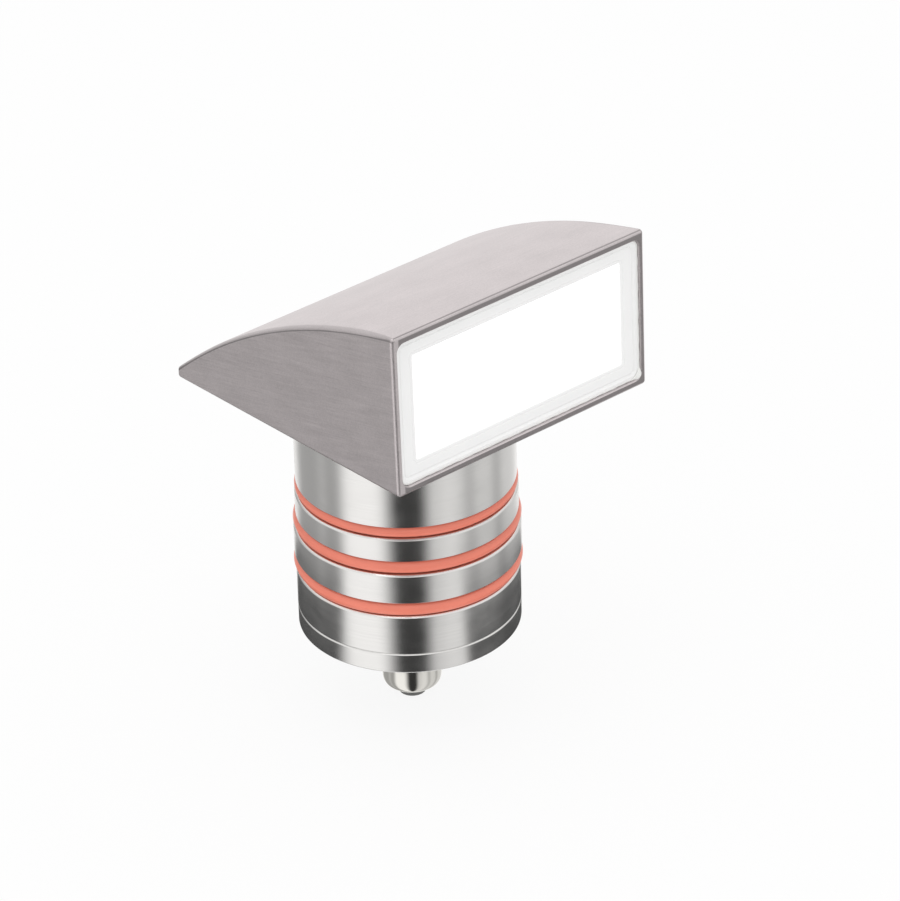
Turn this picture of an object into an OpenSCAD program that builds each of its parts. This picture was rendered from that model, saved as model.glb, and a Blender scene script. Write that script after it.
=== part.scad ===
// Recessed step light: an arched hood with a lit window, on a round canister that drops into a cored hole.
// Origin on the canister axis in the plane of the hood's underside. The window faces -Y and +Z is up.
// Millimetres.

/* [Hood] */
// Width of the hood across its two cheeks
hood_w = 70.5; // [66:0.5:84]
// Height of the front rim above the seat
hood_h = 36.9; // [33:0.1:44]
// Reach of the rim's foot from the canister axis
hood_front = 38.9; // [38:0.1:48]
// Reach of the nose tip from the canister axis
hood_back = 33.6; // [31:0.1:42]
// Height of the nose's upright foot, below its rounding
nose_foot_h = 1; // [0:0.1:2]
// How far the top of the rim stands back from its foot
hood_setback = 0.8; // [0:0.1:2]
// Radius of the arched top
hood_arc_r = 147; // [115:1:180]
// Radius of the softened edges and the nose
hood_edge_r = 0.9; // [0.5:0.1:1.2]
// Wall of the hood behind the ledge
hood_wall = 2.4; // [2:0.1:3]
// Thickness of the hood's floor
hood_floor = 3.5; // [3.2:0.1:4.5]
// Depth of the recess in the floor that centres the canister
register_depth = 1; // [0.6:0.1:1.5]

/* [Mouth and lens] */
// Thickness of the rim at the cheeks
rim_wall = 1.3; // [1:0.1:1.6]
// Thickness of the rim at the foot
rim_foot = 1.8; // [1.4:0.1:2.4]
// Thickness of the rim under the arched top
rim_top = 2; // [1.6:0.1:2.4]
// Depth from the rim's face to the ledge
mouth_depth = 3.6; // [3.2:0.1:4]
// Corner radius of the mouth
mouth_corner_r = 2; // [1.5:0.1:3]
// Depth from the rim's face to the lip of the lens frame
lens_recess = 0.8; // [0.4:0.1:1]
// Width of the raised lip round the lens frame
lens_lip_w = 1.1; // [0.8:0.1:1.6]
// Height of the raised lip above the border
lens_lip_h = 0.3; // [0.2:0.1:0.5]
// Width of the white border at the sides of the window
border_side = 4.8; // [4:0.1:7]
// Width of the white border above the window
border_top = 4.3; // [4:0.1:6]
// Width of the white border below the window
border_foot = 4.6; // [3.6:0.1:5.4]
// Step from the border down to the window
window_step = 0.4; // [0.2:0.1:0.6]
// Thickness of the bedding seal behind the lens frame
lens_seal_t = 0.5; // [0.4:0.1:0.8]

/* [Light engine] */
// Thickness of the diffuser's flange
diffuser_t = 1.5; // [1:0.1:2]
// Reach of the diffuser's flange past the window
diffuser_land = 1.3; // [1:0.1:1.4]
// Depth of the reflecting chamber
chamber_depth = 8.4; // [7:0.1:9]
// Wall of the reflecting chamber
chamber_wall = 1.2; // [0.8:0.1:1.4]
// Thickness of the light board
board_t = 1.6; // [1:0.1:2]
// Thickness of the thermal pad
pad_t = 0.5; // [0.3:0.1:1]
// Thickness of the heat spreader
spreader_t = 3; // [2.5:0.1:3.5]
// Side of one light emitter
led_side = 3; // [2:0.1:3.5]
// Columns of emitters
led_columns = 6; // [3:1:6]
// Rows of emitters
led_rows = 2; // [1:1:3]

/* [Canister] */
// Diameter of the land between the middle and the bottom ring
canister_d = 50; // [48:0.5:54]
// Depth from the hood's seat to the cap's seam
canister_depth = 55.2; // [54:0.1:70]
// Wall of the canister
canister_wall = 4.2; // [3.6:0.1:4.6]
// How far the shoulder stands in from the lands
shoulder_step = 0.8; // [0.4:0.1:1.2]
// How far the upper land stands in from the lower one
upper_land_step = 0.5; // [0.2:0.1:0.7]
// How far the tail stands in from the lands
tail_step = 0.28; // [0.1:0.02:0.4]
// Thickness of the canister's top plate
top_plate_t = 4; // [3.5:0.1:5]
// Diameter of the threaded neck
neck_d = 30; // [26:0.5:31]
// Wall of the threaded neck
neck_wall = 3; // [2.5:0.1:4]
// Cord diameter of the two lower sealing rings
ring_cord = 3.2; // [2.4:0.1:3.4]
// How far the sealing rings stand out of the lands
ring_stand = 0.2; // [0.2:0.05:0.6]
// Depth of the top ring below the seat
ring_top_depth = 25; // [20:0.1:27]
// Depth of the middle ring below the seat
ring_middle_depth = 33.5; // [31:0.1:37]
// Depth of the bottom ring below the seat
ring_bottom_depth = 44.1; // [42:0.1:46.5]

/* [Cap and gland] */
// Thickness of the cap below the seam
cap_t = 5; // [4:0.1:7]
// How far the cap stands in from the lands
cap_step = 0.3; // [0.3:0.1:1]
// Length of the cap's threaded spigot
spigot_len = 6; // [5:0.1:6]
// Diameter of the gland's threads
gland_thread_d = 12; // [10.5:0.1:12]
// Width across the gland's flats
gland_flats = 14; // [13.6:0.1:16]
// Height of the gland's fixed hexagon
gland_hex_h = 4; // [3:0.1:6]
// Diameter of the round end of the gland's nut
dome_d = 13.4; // [12.6:0.1:14]
// Height of the nut's hexagon
nut_hex_h = 5; // [4.8:0.1:7]
// Height of the nut's round end
dome_h = 7.1; // [5:0.1:9]
// Rounding of the nut's end
dome_edge_r = 1; // [0.6:0.1:2.8]
// Reach of the rubber insert past the nut's end
insert_reach = 2.6; // [0.6:0.1:3]
// Bore of the rubber insert that grips the cable
cable_bore_d = 5; // [3:0.1:5]

/* [Driver] */
// Height of the driver board
driver_h = 36.5; // [34:0.1:38]
// Thickness of the driver board
driver_t = 1.6; // [1:0.1:2]
// Thickness of the insulating liner
liner_t = 0.6; // [0.4:0.1:1]
// Thickness of the cradle's disc
cradle_t = 2; // [1.6:0.1:3]
// Diameter of the smoothing capacitors
capacitor_d = 8; // [6:0.1:8]
// Length of the smoothing capacitors
capacitor_len = 11; // [8:0.1:11]
// Diameter of the lead wires
lead_d = 1.4; // [1:0.1:1.6]

/* [Hidden] */
$fn = 96;

// Overrun of every cut past the surface it opens
cut = 1;
// Play of a piece that drops into a pocket
play = 0.1;
// Radial gap between mating threads
thread_gap = 0.12;
// Gap that keeps soft or loose pieces clear of each other
soft_gap = 0.25;
// Gap between faces that meet under a screw or a clamp
face_gap = 0.02;
// Chamfer of machined edges
machined_chamfer = 0.4;

// Front rim: it leans back by this angle
lean = atan(hood_setback / hood_h);
// Steps along the arched top and round each softened edge
arc_steps = 28;
edge_steps = 4;

// Centre of the arched top: it passes the rim's top corner and rolls over the nose
nose_y = hood_back - hood_edge_r;
nose_z = hood_edge_r + nose_foot_h;
rim_top_y = hood_setback - hood_front;
chord_y = nose_y - rim_top_y;
chord_z = nose_z - hood_h;
chord = norm([chord_y, chord_z]);
nose_arc_r = hood_arc_r - hood_edge_r;
chord_foot = (hood_arc_r * hood_arc_r - nose_arc_r * nose_arc_r + chord * chord) / (2 * chord);
chord_rise = sqrt(hood_arc_r * hood_arc_r - chord_foot * chord_foot);
arc_y = rim_top_y + (chord_foot * chord_y + chord_rise * chord_z) / chord;
arc_z = hood_h + (chord_foot * chord_z - chord_rise * chord_y) / chord;

// Height of the arch at a place, for an arch drawn in by an inset
function arch_z(y, inset) = arc_z + sqrt(pow(hood_arc_r - inset, 2) - pow(y - arc_y, 2));
// Place of the leaning rim at a height, drawn in by an inset
function rim_y(z, inset) = inset / cos(lean) - hood_front + z * tan(lean);
// Points along an arc from one angle to another
function arc_points(centre, r, from, to, steps) =
    [for (i = [0:steps]) let (a = from + (to - from) * i / steps) centre + r * [cos(a), sin(a)]];

// Height on the drawn-in rim where the drawn-in arch meets it
function corner_z(inset) = let (
    k = tan(lean),
    y0 = rim_y(0, inset) - arc_y,
    a = k * k + 1,
    b = k * y0 - arc_z,
    c = y0 * y0 + arc_z * arc_z - pow(hood_arc_r - inset, 2)
) (sqrt(b * b - a * c) - b) / a;

// Side outline of the hood, drawn in evenly by an inset no larger than the edge radius
function hood_points(inset) = let (
    r = hood_edge_r - inset,
    top_z = corner_z(hood_edge_r),
    top = [rim_y(top_z, hood_edge_r), top_z],
    foot = [rim_y(hood_edge_r, hood_edge_r), hood_edge_r],
    nose = [nose_y, nose_z],
    heel = [nose_y, hood_edge_r],
    nose_a = atan2(nose[1] - arc_z, nose[0] - arc_y),
    top_a = atan2(top[1] - arc_z, top[0] - arc_y)
) concat(
    arc_points(heel, r, -90, 0, edge_steps),
    arc_points(nose, r, 0, nose_a, edge_steps),
    arc_points([arc_y, arc_z], hood_arc_r - inset, nose_a, top_a, arc_steps),
    arc_points(top, r, top_a, 180 - lean, edge_steps),
    arc_points(foot, r, 180 - lean, 270, edge_steps)
);

// Places along the depth of the mouth, measured from the rim's face
lens_face = lens_recess + lens_lip_h;
lens_back = mouth_depth - lens_seal_t;
window_face = lens_face + window_step;
diffuser_back = lens_back + diffuser_t;
chamber_back = diffuser_back + chamber_depth;
board_back = chamber_back + board_t;
pad_back = board_back + pad_t;
spreader_back = pad_back + spreader_t;

// Mouth and window, seen square to the rim
mouth_w = hood_w - 2 * rim_wall;
mouth_h = hood_h - rim_foot - rim_top;
lens_w = mouth_w - 2 * play;
lens_h = mouth_h - 2 * play;
lens_foot = rim_foot + play;
lens_mid = lens_foot + lens_h / 2;
window_w = lens_w - 2 * border_side;
window_h = lens_h - border_top - border_foot;
window_foot = lens_foot + border_foot;
window_mid = window_foot + window_h / 2;
flange_w = window_w + 2 * diffuser_land;
flange_h = window_h + 2 * diffuser_land;
ledge_gap = 1;

// Light engine, upright behind the window and under the arch
engine_gap = 0.5;
engine_w = flange_w;
engine_foot = hood_floor + engine_gap;
engine_top = arch_z(spreader_back - hood_front, hood_wall) - engine_gap;
engine_h = engine_top - engine_foot;
engine_mid = (engine_top + engine_foot) / 2;
chamber_margin = 1;
chamber_w = engine_w - 2 * chamber_margin;
chamber_h = engine_h - 2 * chamber_margin;
chamber_front_t = 1;

// Emitters in a grid between the board's screws
led_h = 0.6;
led_dome_h = 0.15;
led_dome_share = 0.8;
board_screw_inset = 5.5;
board_screw_x = engine_w / 2 - board_screw_inset;
small_screw_d = 2.4;
small_head_d = 4;
small_head_h = 1.3;
small_socket_d = 1.5;
led_pitch_x = 2 * (board_screw_x - small_head_d / 2 - led_side / 2 - play) / max(led_columns - 1, 1);
led_field_h = chamber_h - 2 * chamber_wall - led_side;
led_pitch_z = led_field_h / (led_rows + 1);
small_thread_len = 2.4;

// Heat spreader's feet on the hood's floor
foot_w = 8;
foot_len = 9.5;
foot_t = 3;
foot_x = engine_w / 2 - foot_w / 2;
foot_back_y = spreader_back - hood_front + foot_len;
foot_screw_inset = 4;
foot_screw_y = foot_back_y - foot_screw_inset;
screw_d = 2.9;
screw_head_d = 5.2;
screw_head_h = 1.8;
screw_socket_d = 2;
socket_depth_share = 0.6;
floor_hole_left = 0.8;
wire_slot_w = 8;
wire_slot_h = 6;

// Canister and its rings
canister_r = canister_d / 2;
shoulder_r = canister_r - shoulder_step;
upper_land_r = canister_r - upper_land_step;
tail_r = canister_r - tail_step;
bore_r = canister_r - canister_wall;
neck_r = neck_d / 2;
neck_bore_r = neck_r - neck_wall;
locknut_t = 3;
locknut_ring = 3;
locknut_r = neck_r + locknut_ring;
locknut_slots = 4;
locknut_slot_w = 2.6;
locknut_slot_depth = 1.2;
neck_over = 0.4;
neck_top = hood_floor + locknut_t + neck_over;
ceiling_z = register_depth - top_plate_t;
seam_z = -canister_depth;
groove_r = canister_r + ring_stand - ring_cord;
ring_top_cord = upper_land_r + ring_stand - groove_r;
groove_play = 0.2;
groove_chamfer = 0.4;
shoulder_cord = 1.5;
shoulder_ring_r = (neck_r + shoulder_r) / 2;
shoulder_squeeze = 0.2;

// Cap with its spigot inside the tail
cap_r = canister_r - cap_step;
spigot_wall_left = 2.6;
spigot_bore_r = tail_r - spigot_wall_left;
spigot_r = spigot_bore_r - thread_gap;
spigot_wall = 4;
thread_relief = 0.8;
relief_top = seam_z + spigot_len + thread_relief;
cap_bottom = seam_z - cap_t;
cap_cord = 1.2;
cap_groove_w = cap_cord + 2 * play;
cap_ring_z = seam_z + cap_cord;
cap_ring_r = spigot_r - cap_cord / 2 + play / 2;
pin_hole_d = 4;
pin_hole_depth = 3;
pin_hole_shift = 0.6;
pin_hole_r = (cap_r + gland_flats / 2) / 2 + pin_hole_shift;

// Gland under the cap
gland_r = gland_thread_d / 2;
washer_t = 0.8;
washer_r = gland_flats / 2;
gland_entry_over = 0.6;
gland_flange_z = cap_bottom - washer_t;
gland_hex_z = gland_flange_z - gland_hex_h;
nut_gap = 0.3;
nut_top = gland_hex_z - nut_gap;
nut_bottom = nut_top - nut_hex_h - dome_h;
clamp_thread_len = 5;
clamp_end = gland_hex_z - clamp_thread_len;
gland_bore_r = 3.6;
claw_wall = 0.8;
claw_play = 0.05;
seat_wall = 0.95;
seat_depth_share = 0.72;
seat_r = gland_r - seat_wall;
seat_top = clamp_end + clamp_thread_len * seat_depth_share;
claw_r = seat_r - play;
claw_top = seat_top - soft_gap;
claw_fingers = 6;
finger_gap = 0.7;
finger_share = 0.5;
insert_r = claw_r - claw_wall - claw_play;
slip_t = 0.8;
nut_mouth_r = 3.25;
nut_end_t = 2.5;
nut_shoulder_z = nut_bottom + nut_end_t;
slip_bottom = nut_shoulder_z + play;
slip_top = slip_bottom + slip_t;
slip_r = 5.2;
slip_bore_r = 3.6;
claw_bottom = slip_top + soft_gap;
insert_nose_r = nut_mouth_r - play - soft_gap / 2;
nut_chamber_r = slip_r + play;
nut_chamber_top = nut_top - nut_hex_h;
hex_chamfer_share = 0.06;

// Driver inside the canister
liner_r = bore_r - play;
liner_bore_r = liner_r - liner_t;
cradle_r = liner_bore_r - soft_gap;
cradle_hole_r = 7;
cradle_z = ceiling_z - cradle_t;
rail_w = 3.6;
rail_d = 5;
rail_groove = 1.6;
rail_margin = 1.2;
rail_x = cradle_r - rail_w / 2 - rail_margin;
driver_w = 2 * (rail_x - rail_w / 2 + rail_groove) - 2 * play;
driver_top = cradle_z - soft_gap;
driver_bottom = driver_top - driver_h;
rail_len = driver_h + soft_gap;
cradle_screw_r = (neck_bore_r + bore_r) / 2;
cradle_hole_depth = 2.6;
liner_over = 3;
liner_len = driver_h + liner_over;
front_face = -driver_t / 2;

// Places on the driver board, as shares of its width and its height from the top edge
capacitor_x_share = -0.29;
capacitor_z_shares = [0.32, 0.62];
inductor_x_share = 0.22;
inductor_z_share = 0.47;
chip_x_share = 0.27;
chip_z_shares = [0.8, 0.93];
inductor_r = 5;
inductor_cord_r = 2.1;
inductor_core_r = 1.8;
chip_size = [7, 2, 3.6];
plug_size = [8, 6, 6];
plug_lock = 0.8;
terminal_size = [13, 8.5, 8];
terminal_x_share = -0.14;
terminal_ways = 2;
terminal_pitch = 6;
terminal_hole_d = 2.6;
terminal_hole_depth = 5;
terminal_screw_d = 3;
terminal_screw_h = 3;
terminal_slot_w = 0.6;
lead_gap = 3.2;
lead_y = front_face - plug_size[1] / 2;
lead_bend_r = 4;
lead_height = 7.5;
lead_rise = hood_floor + lead_height;
lead_start = driver_top - plug_size[2];
lead_board_y = board_back - hood_front + lead_rise * tan(lean) + face_gap;

function driver_x(share) = share * driver_w;
function driver_z(share) = driver_top - share * driver_h;

// Colours
steel = [0.72, 0.7, 0.69];
polished = [0.8, 0.8, 0.8];
white = [0.95, 0.95, 0.94];
coral = [0.92, 0.42, 0.32];
nickel = [0.78, 0.78, 0.74];
board_green = [0.1, 0.42, 0.24];
alloy = [0.66, 0.68, 0.7];
black = [0.1, 0.1, 0.11];

// Stands a frame on the leaning rim: X across, Y into the mouth, Z up along the rim
module at_mouth() {
    translate([0, -hood_front, 0]) rotate([-lean, 0, 0]) children();
}

// Side outline given as places and heights, extruded across the hood
module across(points, w) {
    rotate([90, 0, 90]) linear_extrude(height = w, center = true) polygon(points);
}

// Upright plate with round corners, from a front place to a back place along Y
module round_plate(w, h, r, front, back, mid) {
    translate([0, back, mid]) rotate([90, 0, 0]) linear_extrude(height = back - front) {
        square([w - 2 * r, h], center = true);
        square([w, h - 2 * r], center = true);
        for (x = [-1, 1], z = [-1, 1]) translate([x * (w / 2 - r), z * (h / 2 - r)]) circle(r);
    }
}

// Upright plain plate, from a front place to a back place along Y
module plate(w, h, front, back, mid) {
    translate([-w / 2, front, mid - h / 2]) cube([w, back - front, h]);
}

// Round tube or ring along Z
module tube(r, bore, bottom, top) {
    difference() {
        translate([0, 0, bottom]) cylinder(r = r, h = top - bottom);
        translate([0, 0, bottom - cut]) cylinder(r = bore, h = top - bottom + 2 * cut);
    }
}

// Sealing ring of round cord
module cord_ring(r, cord, z) {
    translate([0, 0, z]) rotate_extrude() translate([r, 0]) circle(d = cord);
}

// Hexagon along Z, its corners cut back at the named end
module hexagon(flats, bottom, top) {
    corner_r = flats / 2 / cos(30);
    bevel = flats * hex_chamfer_share;
    intersection() {
        translate([0, 0, bottom]) cylinder(r = corner_r, h = top - bottom, $fn = 6);
        translate([0, 0, bottom]) rotate_extrude() polygon([
            [0, 0], [corner_r - bevel, 0], [corner_r, bevel], [corner_r, top - bottom - bevel],
            [corner_r - bevel, top - bottom], [0, top - bottom],
        ]);
    }
}

// Pan screw with a hexagon socket, its head's underside at the origin and its shank along -Z
module pan_screw(d, head_d, head_h, len, socket_d) {
    difference() {
        union() {
            translate([0, 0, -len]) cylinder(d = d, h = len);
            cylinder(d1 = head_d, d2 = head_d - head_h, h = head_h);
        }
        translate([0, 0, head_h * (1 - socket_depth_share)]) cylinder(d = socket_d, h = head_h, $fn = 6);
    }
}

module hood_shell() {
    color(steel) difference() {
        hull() for (i = [0:edge_steps]) let (a = 90 * i / edge_steps)
            across(hood_points(hood_edge_r * (1 - cos(a))), hood_w - 2 * hood_edge_r * (1 - sin(a)));
        hood_cavity();
        at_mouth() round_plate(mouth_w, mouth_h, mouth_corner_r, -cut, mouth_depth, rim_foot + mouth_h / 2);
        translate([0, 0, -cut]) cylinder(r = neck_r + play, h = hood_floor + 2 * cut);
        translate([0, 0, -cut]) cylinder(r = shoulder_r + play, h = register_depth + cut);
        for (x = [-1, 1]) translate([x * foot_x, foot_screw_y, floor_hole_left])
            cylinder(d = screw_d, h = hood_floor);
    }
}

module hood_cavity() {
    inner_r = hood_arc_r - hood_wall;
    front = -hood_front - cut;
    across(concat(
        [[front, hood_floor]],
        arc_points([arc_y, arc_z], inner_r, asin((hood_floor - arc_z) / inner_r),
            acos((front - arc_y) / inner_r), arc_steps)
    ), hood_w - 2 * hood_wall);
}

module lens_frame() {
    corner_r = mouth_corner_r - play;
    color(white) at_mouth() difference() {
        round_plate(lens_w, lens_h, corner_r, lens_recess, lens_back, lens_mid);
        round_plate(lens_w - 2 * lens_lip_w, lens_h - 2 * lens_lip_w, corner_r / 2, lens_recess - cut,
            lens_face, lens_mid);
        plate(window_w, window_h, lens_recess - cut, lens_back + cut, window_mid);
    }
}

module lens_seal() {
    corner_r = mouth_corner_r - play;
    color(white) at_mouth() difference() {
        round_plate(lens_w, lens_h, corner_r, lens_back + face_gap, mouth_depth - face_gap, lens_mid);
        plate(flange_w + 2 * play, flange_h + 2 * play, lens_back - cut, mouth_depth + cut, window_mid);
    }
}

module diffuser_panel() {
    color([1, 1, 1]) at_mouth() {
        plate(window_w - 2 * play, window_h - 2 * play, window_face, lens_back + face_gap + diffuser_t / 2,
            window_mid);
        plate(flange_w, flange_h, lens_back + face_gap, diffuser_back, window_mid);
    }
}

// Funnel between the diffuser and the board, drawn in by an inset
module chamber_funnel(inset, over) {
    hull() {
        plate(flange_w - 2 * inset, flange_h - 2 * inset, diffuser_back + face_gap - over,
            diffuser_back + chamber_front_t, window_mid);
        plate(chamber_w - 2 * inset, chamber_h - 2 * inset, chamber_back - chamber_front_t,
            chamber_back - face_gap + over, engine_mid);
    }
}

module light_chamber() {
    color(white) at_mouth() difference() {
        chamber_funnel(0, 0);
        chamber_funnel(chamber_wall, cut);
    }
}

// Places of the two screws that hold the light board
module at_board_screws(y) {
    for (x = [-1, 1]) translate([x * board_screw_x, y, engine_mid]) rotate([90, 0, 0]) children();
}

module light_board() {
    color(white) at_mouth() difference() {
        plate(engine_w, engine_h, chamber_back, board_back, engine_mid);
        at_board_screws(board_back + cut) cylinder(d = small_screw_d + 2 * play, h = board_t + 2 * cut);
    }
}

module light_emitters() {
    color([1, 0.86, 0.4]) at_mouth() for (i = [1:led_columns], j = [1:led_rows])
        translate([(i - (led_columns + 1) / 2) * led_pitch_x, chamber_back,
                engine_mid + (j - (led_rows + 1) / 2) * led_pitch_z]) rotate([90, 0, 0]) {
            translate([-led_side / 2, -led_side / 2, 0]) cube([led_side, led_side, led_h]);
            cylinder(d = led_side * led_dome_share, h = led_h + led_dome_h);
        }
}

module light_board_screws() {
    color(alloy) at_mouth() at_board_screws(chamber_back - face_gap)
        pan_screw(small_screw_d, small_head_d, small_head_h, board_t + pad_t + small_thread_len - play,
            small_socket_d);
}

module thermal_pad() {
    color([0.55, 0.6, 0.68]) at_mouth() difference() {
        plate(chamber_w, chamber_h, board_back, pad_back, engine_mid);
        at_board_screws(pad_back + cut) cylinder(d = small_screw_d + 2 * play, h = pad_t + 2 * cut);
        plate(wire_slot_w, wire_slot_h, board_back - cut, pad_back + cut, lead_rise);
    }
}

module heat_spreader() {
    color(alloy) difference() {
        union() {
            at_mouth() plate(engine_w, engine_h, pad_back, spreader_back, engine_mid);
            for (x = [-1, 1])
                translate([x * foot_x - foot_w / 2, foot_back_y - foot_len - spreader_t / 2, hood_floor])
                    cube([foot_w, foot_len + spreader_t / 2, foot_t]);
        }
        at_mouth() at_board_screws(pad_back + small_thread_len)
            cylinder(d = small_screw_d, h = small_thread_len + cut);
        at_mouth() plate(wire_slot_w, wire_slot_h, pad_back - cut, spreader_back + cut, lead_rise);
        for (x = [-1, 1]) translate([x * foot_x, foot_screw_y, hood_floor - cut])
            cylinder(d = screw_d + 2 * play, h = foot_t + 2 * cut);
    }
}

module spreader_screws() {
    len = foot_t + hood_floor - floor_hole_left - play;
    color(alloy) for (x = [-1, 1]) translate([x * foot_x, foot_screw_y, hood_floor + foot_t + face_gap])
        pan_screw(screw_d, screw_head_d, screw_head_h, len, screw_socket_d);
}

module hood_locknut() {
    color(polished) difference() {
        tube(locknut_r, neck_r + thread_gap, hood_floor, hood_floor + locknut_t);
        for (i = [1:locknut_slots]) rotate([0, 0, 360 * i / locknut_slots + 180 / locknut_slots])
            translate([locknut_r - locknut_slot_depth, -locknut_slot_w / 2, hood_floor - cut])
                cube([locknut_slot_depth + cut, locknut_slot_w, locknut_t + 2 * cut]);
    }
}

module shoulder_seal() {
    color(coral) cord_ring(shoulder_ring_r, shoulder_cord - shoulder_squeeze,
        register_depth - (shoulder_cord - shoulder_squeeze) / 2);
}

// Groove for a ring's cord in the canister's side, bevelled at the land below it
module ring_groove(depth, cord, land_r) {
    half_w = cord / 2 + groove_play;
    translate([0, 0, -depth]) rotate_extrude() polygon([
        [groove_r, -half_w], [groove_r, half_w], [canister_r + cut, half_w],
        [canister_r + cut, -half_w - groove_chamfer], [land_r, -half_w - groove_chamfer],
        [land_r - groove_chamfer, -half_w],
    ]);
}

module canister_body() {
    color(polished) difference() {
        rotate_extrude() polygon([
            [neck_bore_r, neck_top], [neck_r - machined_chamfer, neck_top],
            [neck_r, neck_top - machined_chamfer], [neck_r, register_depth], [shoulder_r, register_depth],
            [shoulder_r, -ring_top_depth], [upper_land_r, -ring_top_depth],
            [upper_land_r, -ring_middle_depth], [canister_r, -ring_middle_depth],
            [canister_r, -ring_bottom_depth], [tail_r, -ring_bottom_depth],
            [tail_r, seam_z + machined_chamfer], [tail_r - machined_chamfer, seam_z], [spigot_bore_r, seam_z], [spigot_bore_r, relief_top],
            [bore_r, relief_top], [bore_r, ceiling_z], [neck_bore_r, ceiling_z],
        ]);
        ring_groove(ring_top_depth, ring_top_cord, upper_land_r);
        ring_groove(ring_middle_depth, ring_cord, canister_r);
        ring_groove(ring_bottom_depth, ring_cord, tail_r);
        tube(shoulder_ring_r + shoulder_cord / 2 + play, shoulder_ring_r - shoulder_cord / 2 - play,
            register_depth - shoulder_cord + shoulder_squeeze, register_depth + cut);
        for (y = [-1, 1]) translate([0, y * cradle_screw_r, ceiling_z - cut])
            cylinder(d = screw_d, h = cradle_hole_depth + cut);
    }
}

module o_ring_top() {
    color(coral) cord_ring(groove_r + ring_top_cord / 2, ring_top_cord, -ring_top_depth);
}

module o_ring_middle() {
    color(coral) cord_ring(groove_r + ring_cord / 2, ring_cord, -ring_middle_depth);
}

module o_ring_bottom() {
    color(coral) cord_ring(groove_r + ring_cord / 2, ring_cord, -ring_bottom_depth);
}

module driver_cradle() {
    color(black) difference() {
        union() {
            tube(cradle_r, cradle_hole_r, cradle_z, ceiling_z);
            for (x = [-1, 1]) translate([x * rail_x - rail_w / 2, -rail_d / 2, cradle_z - rail_len])
                cube([rail_w, rail_d, rail_len + cradle_t / 2]);
        }
        for (x = [-1, 1])
            translate([x * (rail_x - rail_w / 2) - rail_groove, front_face - play, cradle_z - rail_len - cut])
                cube([2 * rail_groove, driver_t + 2 * play, rail_len + cut]);
        for (y = [-1, 1]) translate([0, y * cradle_screw_r, cradle_z - cut])
            cylinder(d = screw_d + 2 * play, h = cradle_t + 2 * cut);
    }
}

module cradle_screws() {
    color(alloy) for (y = [-1, 1]) translate([0, y * cradle_screw_r, cradle_z - face_gap]) rotate([180, 0, 0])
        pan_screw(screw_d, screw_head_d, screw_head_h, cradle_t + cradle_hole_depth - play, screw_socket_d);
}

module insulating_liner() {
    color([0.9, 0.9, 0.82, 0.6]) tube(liner_r, liner_bore_r, ceiling_z - liner_len, ceiling_z - face_gap);
}

module driver_board() {
    color(board_green) translate([-driver_w / 2, -driver_t / 2, driver_bottom])
        cube([driver_w, driver_t, driver_h]);
}

module smoothing_capacitors() {
    color([0.16, 0.2, 0.34]) for (share = capacitor_z_shares)
        translate([driver_x(capacitor_x_share), front_face, driver_z(share)]) rotate([90, 0, 0])
            cylinder(d = capacitor_d, h = capacitor_len);
}

module inductor() {
    color([0.7, 0.42, 0.2]) translate([driver_x(inductor_x_share), front_face - inductor_cord_r - face_gap,
            driver_z(inductor_z_share)]) rotate([90, 0, 0]) {
        rotate_extrude() translate([inductor_r, 0]) circle(r = inductor_cord_r);
        translate([0, 0, -inductor_cord_r])
            tube(inductor_r - inductor_cord_r / 2, inductor_core_r, 0, 2 * inductor_cord_r);
    }
}

module driver_chips() {
    left = driver_x(chip_x_share) - chip_size[0] / 2;
    color(black) for (share = chip_z_shares)
        translate([left, front_face - chip_size[1], driver_z(share) - chip_size[2] / 2]) cube(chip_size);
}

module output_plug() {
    color(white) translate([-plug_size[0] / 2, front_face - plug_size[1], lead_start]) difference() {
        cube([plug_size[0], plug_size[1], plug_size[2] - play]);
        translate([plug_size[0] / 4, -cut, plug_size[2] / 4])
            cube([plug_size[0] / 2, plug_lock + cut, plug_size[2] / 2]);
        for (x = [-1, 1]) translate([plug_size[0] / 2 + x * lead_gap / 2, plug_size[1] / 2, plug_size[2] / 2])
            cylinder(d = lead_d + 2 * play, h = plug_size[2]);
    }
}

// Places of the terminal's ways across its block
module at_terminal_ways() {
    for (i = [1:terminal_ways]) translate([(i - (terminal_ways + 1) / 2) * terminal_pitch, 0, 0]) children();
}

module input_terminal() {
    color([0.25, 0.5, 0.36]) translate([driver_x(terminal_x_share), front_face, driver_bottom]) difference() {
        translate([-terminal_size[0] / 2, -terminal_size[1], 0]) cube(terminal_size);
        at_terminal_ways() {
            translate([0, -terminal_size[1] / 2, -cut])
                cylinder(d = terminal_hole_d, h = terminal_hole_depth + cut);
            translate([0, -terminal_size[1] - cut, terminal_size[2] / 2]) rotate([-90, 0, 0])
                cylinder(d = terminal_screw_d + 2 * play, h = terminal_screw_h + cut);
        }
    }
}

module terminal_screws() {
    color(alloy) translate([driver_x(terminal_x_share), front_face, driver_bottom]) at_terminal_ways()
        translate([0, -terminal_size[1] + play, terminal_size[2] / 2]) rotate([-90, 0, 0]) difference() {
            cylinder(d = terminal_screw_d, h = terminal_screw_h - 2 * play);
            translate([-terminal_screw_d, -terminal_slot_w / 2, -cut])
                cube([2 * terminal_screw_d, terminal_slot_w, 2 * cut]);
        }
}

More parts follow.
